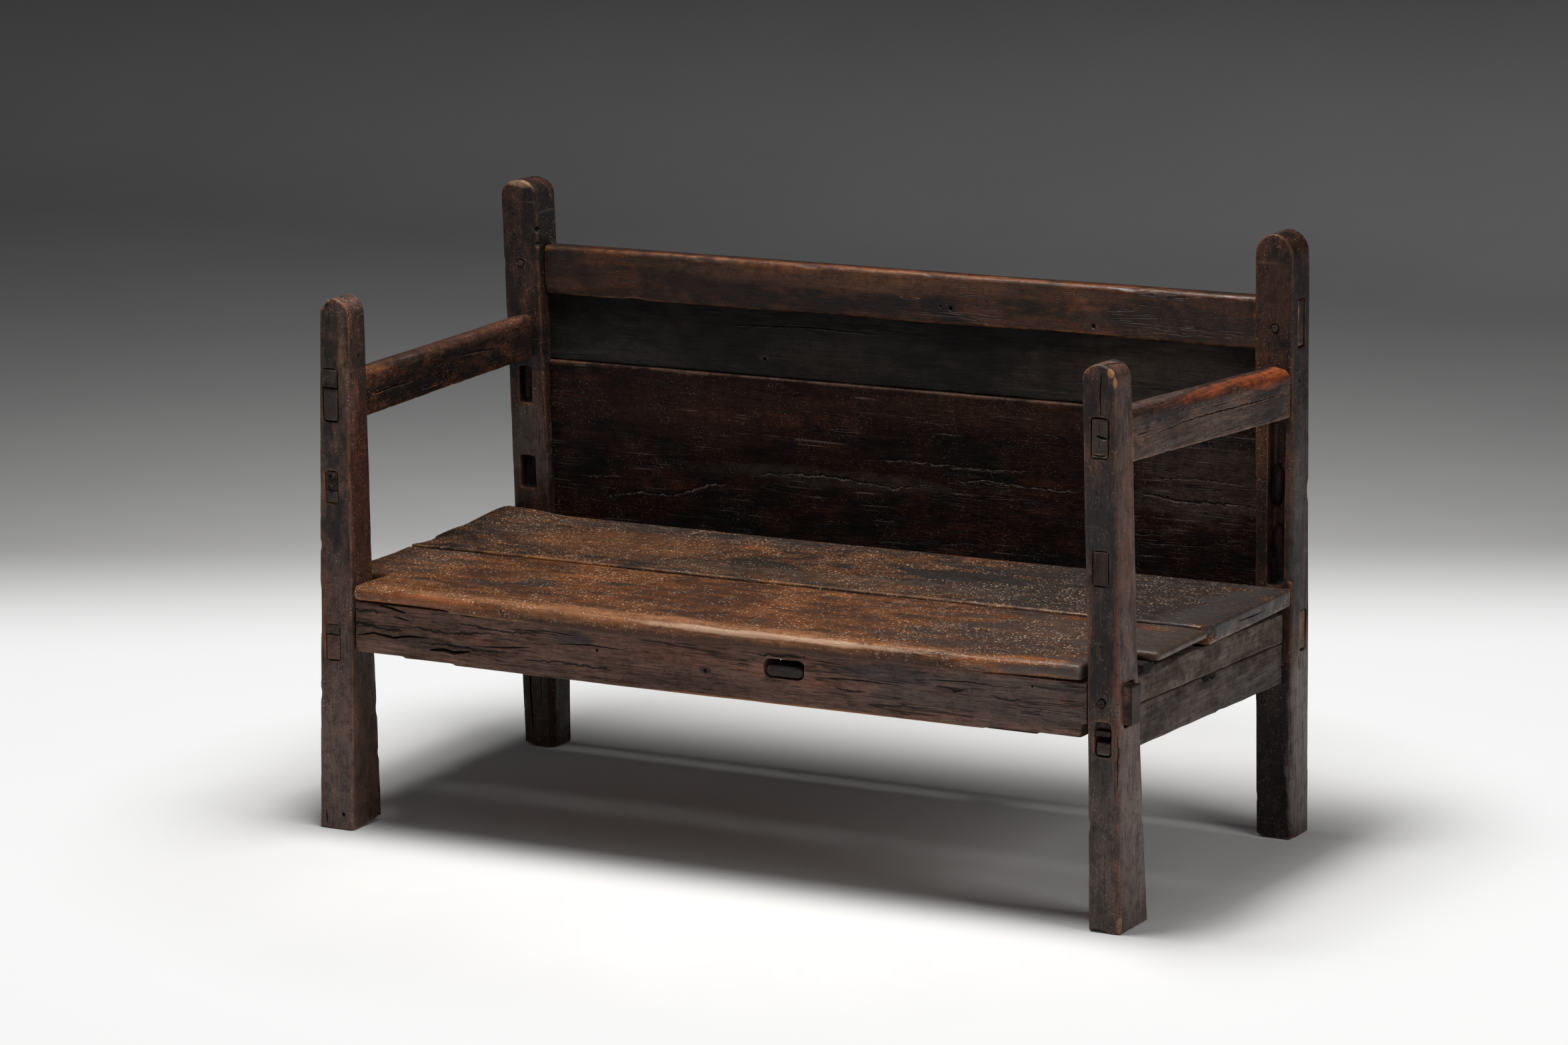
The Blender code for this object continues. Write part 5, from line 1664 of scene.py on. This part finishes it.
@dataclass
class Back(Assembly):
    """The crest rail and the two back boards.

    Attributes:
        crest_face: Y of the crest rail's face.
        upper_face: Y of the upper board's face.
        lower_face: Y of the lower board's face.
    """

    crest_face: float = 0.291
    upper_face: float = 0.308
    lower_face: float = 0.301

    def timbers(self) -> list[Timber]:
        """Lists the crest rail and the boards."""
        return [self.crest(), self.upper_board(), self.lower_board()]

    def crest(self) -> Timber:
        """The crest rail, with its nail holes and the notch in its lower edge."""
        front = Face(FRONT, self.crest_face)
        return Timber(
            "crest_rail", Grain.ALONG_X, CREST, cell=0.0028, sway=0.0026, waves=0.001, nicks=20, rounding=9,
            gouges=(
                Gouge((-0.468, self.crest_face + 0.01, 0.772), (0.02, 0.016, 0.004)),
                Gouge((0.3, self.crest_face + 0.008, 0.77), (0.16, 0.014, 0.0045)),
                Gouge((-0.1, self.crest_face + 0.008, 0.77), (0.12, 0.014, 0.004)),
            ),
            splits=(
                front.hole(0.112, 0.8, 0.0042),
                front.hole(0.363, 0.789, 0.0038),
                front.hole(0.094, 0.802, 0.0026),
                front.crack(0.0016, 0.005, (0.02, 0.812), (0.06, 0.811)),
            ),
            patches=(
                Patch((0.103, self.crest_face, 0.8), (0.022, 0.01, 0.01), SOOT_AND_SHADE, 0.7),
                front.patch((-0.05, 0.835), (0.5, 0.02), (0.11, 0.052, 0.026), 0.5),
                front.patch((-0.5, 0.81), (0.2, 0.03), (0.024, 0.009, 0.005), 0.65),
                front.patch((0.52, 0.8), (0.26, 0.04), (0.02, 0.01, 0.007), 0.75),
                front.patch((0.0, 0.856), (0.72, 0.006), (0.28, 0.095, 0.035), 0.6),
            ),
        )

    def upper_board(self) -> Timber:
        """The upper board, nearly black, with painted light where the crest rail shades it."""
        front = Face(FRONT, self.upper_face)
        return Timber(
            "upper_back_board", Grain.ALONG_X, UPPER, cell=0.0036, sway=0.0015, waves=0.0007, nicks=4,
            swell=((0, 0, -0.0016),),
            splits=(
                front.crack(0.0019, 0.006, (-0.3, 0.742), (-0.15, 0.748), (-0.02, 0.745)),
                front.hole(-0.235, 0.69, 0.0035, 0.006),
            ),
            patches=(
                # Painted light: lightens the right part, which lies in the crest rail's shadow
                front.patch((0.48, 0.715), (0.3, 0.07), (0.046, 0.033, 0.026), 0.85),
                front.patch((-0.235, 0.692), (0.014, 0.006), (0.1, 0.075, 0.06), 0.5),
            ),
        )

    def lower_board(self) -> Timber:
        """The lower board, with the long shakes across its face."""
        front = Face(FRONT, self.lower_face)
        return Timber(
            "lower_back_board", Grain.ALONG_X, LOWER, cell=0.0036, sway=0.0022, waves=0.0011, nicks=12,
            swell=((0, 0, 0.002),),
            splits=(
                front.line(0.0027, (-0.535, 0.439), (-0.468, 0.451), (-0.405, 0.452), (-0.342, 0.473),
                           (-0.3, 0.48)),
                front.line(0.0024, (-0.26, 0.497), (-0.192, 0.506), (-0.093, 0.507), (0.004, 0.497),
                           (0.076, 0.513)),
                front.line(0.0022, (0.1, 0.516), (0.172, 0.525), (0.266, 0.519), (0.336, 0.521)),
                front.line(0.003, (0.442, 0.529), (0.509, 0.52), (0.578, 0.522), (0.635, 0.522)),
                front.line(0.0016, (-0.05, 0.54), (0.05, 0.545), (0.16, 0.541), (0.26, 0.548)),
                front.line(0.0016, (0.46, 0.553), (0.54, 0.558), (0.62, 0.555)),
                front.line(0.0014, (-0.58, 0.47), (-0.5, 0.476)),
            ),
            patches=(
                front.patch((0.55, 0.56), (0.16, 0.1), (0.06, 0.042, 0.034), 0.55),
                front.patch((-0.35, 0.6), (0.25, 0.06), (0.034, 0.013, 0.008), 0.6),
                front.patch((0.2, 0.63), (0.35, 0.03), (0.036, 0.015, 0.009), 0.55),
                front.patch((-0.1, 0.505), (0.28, 0.02), (0.045, 0.034, 0.028), 0.45),
            ),
        )


@dataclass
class Seat(Assembly):
    """The two seat boards.

    Attributes:
        top: Height of the front board's top.
        rear_top: Height of the rear board's top.
        nose: Y of the front edge.
    """

    top: float = 0.402
    rear_top: float = 0.405
    nose: float = -0.35

    def timbers(self) -> list[Timber]:
        """Lists the boards."""
        return [self.front_board(), self.rear_board()]

    def front_board(self) -> Timber:
        """The front board, with its rubbed nose and a painted highlight along it."""
        top = Face(UP, self.top, 0.03)
        nose = Face(FRONT, self.nose, 0.01)
        rim, chip = self.nose + 0.006, self.nose + 0.004
        sags = ((-0.36, 0.0022), (-0.16, 0.004), (0.04, 0.0034), (0.24, 0.0034), (0.44, 0.003))
        return Timber(
            "front_seat_board", Grain.ALONG_X, SEAT, cell=0.0033, sway=0.0022, nicks=34, rounding=18,
            warps=tuple(Warp((x, self.nose, 0.396), 0.17, (0, 0, -fall)) for x, fall in sags),
            fills=stepped_blocks(
                (-0.44, -0.36, -0.28, -0.2, -0.04, 0.06, 0.18, 0.3, 0.44),
                (0.3722, 0.3705, 0.369, 0.3672, 0.3685, 0.37, 0.3708, 0.3722),
                front=self.nose, back=self.nose + 0.0115, top=0.38,
            ),
            gouges=(
                Gouge((-0.712, -0.1, 0.39), (0.01, 0.1, 0.04), (0, 0, 4)),
                Gouge((-0.1, self.nose, 0.404), (0.16, 0.01, 0.0045)),
                Gouge((0.38, self.nose, 0.404), (0.2, 0.01, 0.0045)),
                Gouge((-0.45, self.nose + 0.002, 0.404), (0.1, 0.008, 0.003)),
                Gouge((0.08, self.nose - 0.002, 0.405), (0.52, 0.015, 0.008)),
                Gouge((0.708, -0.03, 0.392), (0.014, 0.012, 0.014)),
                Gouge((0.696, -0.045, 0.404), (0.02, 0.014, 0.004)),
            ),
            splits=(
                top.hole(-0.25, -0.19, 0.002, 0.006),
                top.hole(-0.02, -0.3, 0.0016, 0.006),
                top.crack(0.0016, 0.005, (0.3, -0.12), (0.45, -0.125), (0.6, -0.12)),
            ),
            patches=(
                # Rubbed orange along the nose, lightened further as a painted highlight; then a pale painted
                # highlight on the nose's top
                top.patch((-0.05, rim), (0.62, 0.04), (0.42, 0.18, 0.075), 0.62),
                Patch((0.17, rim, self.top - 0.01), (0.33, 0.008, 0.005), (0.6, 0.4, 0.27), 0.45, True),
                nose.patch((0.0, self.top - 0.033), (0.8, 0.013), (0.06, 0.026, 0.015), 0.8, True),
                nose.patch((-0.45, self.top - 0.014), (0.16, 0.012), (0.34, 0.105, 0.038), 0.5, True),
                nose.patch((0.57, self.top - 0.016), (0.13, 0.014), (0.06, 0.052, 0.05), 0.75, True),
                Patch((0.645, chip, self.top - 0.006), (0.009, 0.012, 0.01), (0.34, 0.3, 0.28), 0.7, True),
                top.patch((0.5, -0.275), (0.26, 0.075), (0.058, 0.032, 0.025), 0.75),
                Patch((0.71, -0.18, 0.39), (0.15, 0.3, 0.05), (0.046, 0.034, 0.03), 0.85, True),
                top.patch((-0.35, -0.2), (0.06, 0.03), (0.03, 0.022, 0.019), 0.8),
                top.patch((-0.25, -0.15), (0.035, 0.018), (0.034, 0.025, 0.02), 0.8),
                top.patch((-0.08, -0.28), (0.02, 0.012), (0.03, 0.022, 0.018), 0.75),
                top.patch((-0.45, -0.24), (0.05, 0.03), (0.04, 0.03, 0.024), 0.6),
                top.patch((0.54, -0.18), (0.27, 0.15), (0.06, 0.038, 0.03), 0.8),
                top.patch((-0.62, -0.12), (0.1, 0.12), (0.06, 0.044, 0.036), 0.5),
            ),
        )

    def rear_board(self) -> Timber:
        """The rear board, darker and a little higher."""
        top = Face(UP, self.rear_top, 0.03)
        return Timber(
            "rear_seat_board", Grain.ALONG_X, REAR_SEAT, cell=0.0033, sway=0.0022, rounding=3,
            warps=(
                Warp((-0.7, 0.25, 0.405), 0.13, (0, 0, 0.009)),
                Warp((-0.7, 0.02, 0.405), 0.09, (0, 0, -0.004)),
            ),
            gouges=(
                Gouge((-0.714, -0.01, 0.39), (0.012, 0.06, 0.04), (0, 0, -3)),
                Gouge((0.713, -0.03, 0.398), (0.016, 0.016, 0.014)),
            ),
            splits=(
                Crack(((0.711, 0.07, 0.392), (0.711, 0.12, 0.39), (0.711, 0.17, 0.389)), 0.0022, 0.008,
                      RIGHT, 0.0004),
                top.crack(0.0014, 0.005, (0.2, 0.2), (0.34, 0.205), (0.47, 0.2)),
            ),
            patches=(
                top.patch((0.5, 0.12), (0.4, 0.24), (0.031, 0.022, 0.02), 0.88),
                Patch((0.68, 0.1, 0.395), (0.07, 0.24, 0.03), (0.036, 0.029, 0.027), 0.8, True),
                top.patch((-0.62, 0.18), (0.1, 0.1), (0.058, 0.042, 0.033), 0.5),
                top.patch((0.0, 0.02), (0.4, 0.05), (0.12, 0.072, 0.046), 0.35),
                top.patch((-0.3, 0.24), (0.4, 0.05), (0.055, 0.04, 0.033), 0.5),
                top.patch((0.22, 0.13), (0.13, 0.035), (0.014, 0.011, 0.01), 0.85, True),
                top.patch((-0.4, 0.12), (0.22, 0.1), (0.2, 0.08, 0.03), 0.5),
            ),
        )


class Fixings(Assembly):
    """The pegs, wedges and plugs."""

    def timbers(self) -> list[Timber]:
        """Lists the small pieces.

        Returns:
            The pegs, the wedges and the plugs.
        """
        pegs = [
            Timber(name, Grain.ALONG_Y, PEG, cell=0.0009, sway=0.0004, waves=0.0005, nicks=0)
            for name in ("crest_peg_left", "crest_peg_right", "front_rail_peg")
        ]
        rail_fill = mortise_block(-0.6706, -0.6448, 0.3176, 0.332, front=-0.343, back=-0.327)
        wedges = [
            Timber(
                name, Grain.ALONG_Y, PEG, cell=0.0009, sway=0.0005, waves=0.0006, nicks=3, rounding=1,
                fills=fills,
            )
            for name, fills in (
                ("left_arm_wedge", (mortise_block(-0.6668, -0.639, 0.7114, 0.7397, front=-0.343),)),
                ("left_side_rail_wedge", (rail_fill,)),
                ("right_side_rail_wedge", ()),
            )
        ]
        return pegs + wedges + [self.left_plug(), self.right_plug()]

    def left_plug(self) -> Timber:
        """The left plug: a pale block, with broken wood in the mortise above it."""
        front = Face(FRONT, -0.3405)
        return Timber(
            "front_left_mortise_plug", Grain.ALONG_Z, PEG, cell=0.001, sway=0.0008, waves=0.0008, nicks=3,
            rounding=1,
            fills=(
                mortise_block(-0.6661, -0.6421, 0.5282, 0.5462),
                mortise_block(-0.6655, -0.6427, 0.5462, 0.5776, front=-0.3402),
            ),
            splits=(
                front.line(0.003, (-0.663, 0.575), (-0.655, 0.563), (-0.646, 0.549)),
                front.line(0.0024, (-0.646, 0.574), (-0.652, 0.562), (-0.661, 0.551), jitter=0.0005),
                front.line(0.0022, (-0.664, 0.547), (-0.654, 0.5464), (-0.644, 0.5472)),
                front.hole(-0.657, 0.57, 0.003, 0.003),
            ),
            patches=(
                Patch((-0.654, -0.343, 0.536), (0.02, 0.01, 0.011), (0.11, 0.078, 0.066), 0.8),
                Patch((-0.65, -0.34, 0.572), (0.007, 0.01, 0.005), STRAW, 0.5),
                Patch((-0.656, -0.34, 0.556), (0.005, 0.01, 0.004), STRAW, 0.4),
            ),
        )

    def right_plug(self) -> Timber:
        """The right plug, flush with the post."""
        return Timber(
            "front_right_mortise_plug", Grain.ALONG_Z, PEG, cell=0.001, sway=0.0008, waves=0.0008, nicks=3,
            rounding=1,
            fills=(mortise_block(0.6595, 0.6835, 0.5202, 0.5708),),
            patches=(Patch((0.6715, -0.343, 0.546), (0.03, 0.01, 0.04), (0.062, 0.04, 0.032), 0.8),),
        )


@dataclass(frozen=True)
class Lamp:
    """A square lamp.

    Attributes:
        name: Its name.
        place: Where it hangs.
        aim: The point that it faces.
        size: Length of its side.
        power: Its power in watts.
        tint: Its colour.
    """

    name: str
    place: Point
    aim: Point
    size: float
    power: float
    tint: Colour

    def hang(self) -> None:
        """Adds the lamp."""
        data = bpy.data.lights.new(self.name, "AREA")
        data.shape = "SQUARE"
        data.size = self.size
        data.energy = self.power
        data.color = self.tint
        lamp = bpy.data.objects.new(self.name, data)
        lamp.location = self.place
        lamp.rotation_euler = (Vector(self.aim) - Vector(self.place)).to_track_quat("-Z", "Y").to_euler()
        bpy.context.scene.collection.objects.link(lamp)


@dataclass
class Studio:
    """The pale floor and backdrop, the lamps and the camera.

    Attributes:
        side: Length of the floor's side.
        rise: Height of the backdrop.
        sweep: Where the floor starts to curve up, before its back edge.
        view: The way over the floor from the front to the backdrop.
        eye: Where the camera stands.
        yaw: Its turn about Z in degrees.
        pitch: How far it looks down.
        roll: Its tilt.
        lens: Its focal length on a 36 mm wide sensor.
    """

    side: float = 16
    rise: float = 7
    sweep: float = 2.5
    view: Point = (-0.476, 0.88, 0)
    eye: Point = (3.78867, -7.06461, 2.08259)
    yaw: float = 28.4166
    pitch: float = 11.2074
    roll: float = -0.3462
    lens: float = 119.84

    def build(self) -> None:
        """Sets up the studio."""
        self.floor().data.materials.append(self.floor_paint())
        self.light()
        self.camera()

    def floor(self) -> bpy.types.Object:
        """Makes a floor that curves up into a backdrop, as one swept sheet.

        Returns:
            The sheet.
        """
        deselect()
        bpy.ops.mesh.primitive_plane_add(size=self.side, location=(0, 0, 0))
        sheet = settle(bpy.context.object)
        sheet.name = "studio_floor"
        back = self.side / 2 - 0.1
        select_edges(sheet, lambda middle, way: middle.y > back)
        bpy.ops.mesh.extrude_region_move(TRANSFORM_OT_translate={"value": (0, 0, self.rise)})
        select_edges(sheet, lambda middle, way: middle.y > back and abs(middle.z) < 0.01)
        bpy.ops.mesh.bevel(offset=self.sweep, segments=16)
        bpy.ops.object.mode_set(mode="OBJECT")
        choose(sheet)
        bpy.ops.object.shade_smooth()
        return sheet

    def floor_paint(self) -> bpy.types.Material:
        """Mixes pale paint that darkens up the backdrop, and is plain white in front, away from the bench.

        Returns:
            The paint.
        """
        graph = Graph("pale_floor")
        place = graph.place()
        clouds = graph.noise(place, 1.4, 4, 0.6).rise(0.3, 0.7)
        pale = graph.blend(clouds, (0.84, 0.84, 0.84), (0.88, 0.88, 0.875))
        height = graph.value("ShaderNodeSeparateXYZ", {}, {0: place}, 2)
        paint = graph.blend(height.rise(0.0, 1.2), pale, (0.115, 0.115, 0.125))
        graph.feed(graph.shader.inputs["Base Color"], paint)
        graph.shader.inputs["Roughness"].default_value = 0.7
        distance = graph.value("ShaderNodeVectorMath", {"operation": "LENGTH"}, {0: place}, "Value")
        sides = {0: place, 1: self.view}
        depth = graph.value("ShaderNodeVectorMath", {"operation": "DOT_PRODUCT"}, sides, "Value")
        seen = graph.value("ShaderNodeLightPath", {}, {}, "Is Camera Ray")
        for ray in ("Is Glossy Ray", "Is Transmission Ray"):
            seen = seen.math("MAXIMUM", graph.value("ShaderNodeLightPath", {}, {}, ray))
        white = graph.node("ShaderNodeEmission", {}, {"Color": (0.96, 0.96, 0.96, 1), "Strength": 1.0})
        share = distance.rise(0.84, 1.25) * (1 - depth.rise(1.25, 2.35)) * seen * 0.85
        shaders = {0: share, 1: graph.shader.outputs[0], 2: white.outputs[0]}
        mixed = graph.node("ShaderNodeMixShader", {}, shaders)
        graph.feed(graph.tree.nodes["Material Output"].inputs["Surface"], mixed.outputs[0])
        return graph.material

    def light(self) -> None:
        """A large lamp above, two smaller ones to the right and in front, and a pale sky."""
        Lamp("overhead_lamp", (-0.1, -0.30, 3.1), (0.1, 0, 0.2), 1.15, 112.0, (1.0, 0.99, 0.975)).hang()
        Lamp("right_lamp", (2.6, -0.5, 1.3), (0.6, 0, 0.4), 0.9, 15.0, (1.0, 0.99, 0.98)).hang()
        Lamp("front_lamp", (2.2, -4.4, 1.6), (0, 0, 0.4), 1.6, 15.0, (1.0, 0.99, 0.98)).hang()
        world = bpy.data.worlds.new("pale_sky")
        world.use_nodes = True
        sky = world.node_tree.nodes["Background"]
        sky.inputs["Color"].default_value = (0.95, 0.97, 1.0, 1)
        sky.inputs["Strength"].default_value = 0.04
        bpy.context.scene.world = world

    def camera(self) -> None:
        """The camera at the photograph's place."""
        data = bpy.data.cameras.new("camera")
        data.sensor_width = 36
        data.lens = self.lens
        camera = bpy.data.objects.new("camera", data)
        turn = Matrix.Rotation(math.radians(self.yaw), 4, "Z")
        turn @= Matrix.Rotation(math.radians(90 - self.pitch), 4, "X")
        turn @= Matrix.Rotation(math.radians(self.roll), 4, "Z")
        camera.matrix_world = Matrix.Translation(self.eye) @ turn
        bpy.context.scene.collection.objects.link(camera)
        bpy.context.scene.camera = camera


def main() -> None:
    """Builds the bench's pieces in order, then the studio."""
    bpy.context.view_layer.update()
    for part in (Posts(), SeatFrame(), Arms(), Back(), Seat(), Fixings(), Studio()):
        part.build()
        log.info("%s done", type(part).__name__)
    bpy.context.scene.view_settings.view_transform = "Standard"
    bpy.context.view_layer.update()


if __name__ == "__main__":
    main()
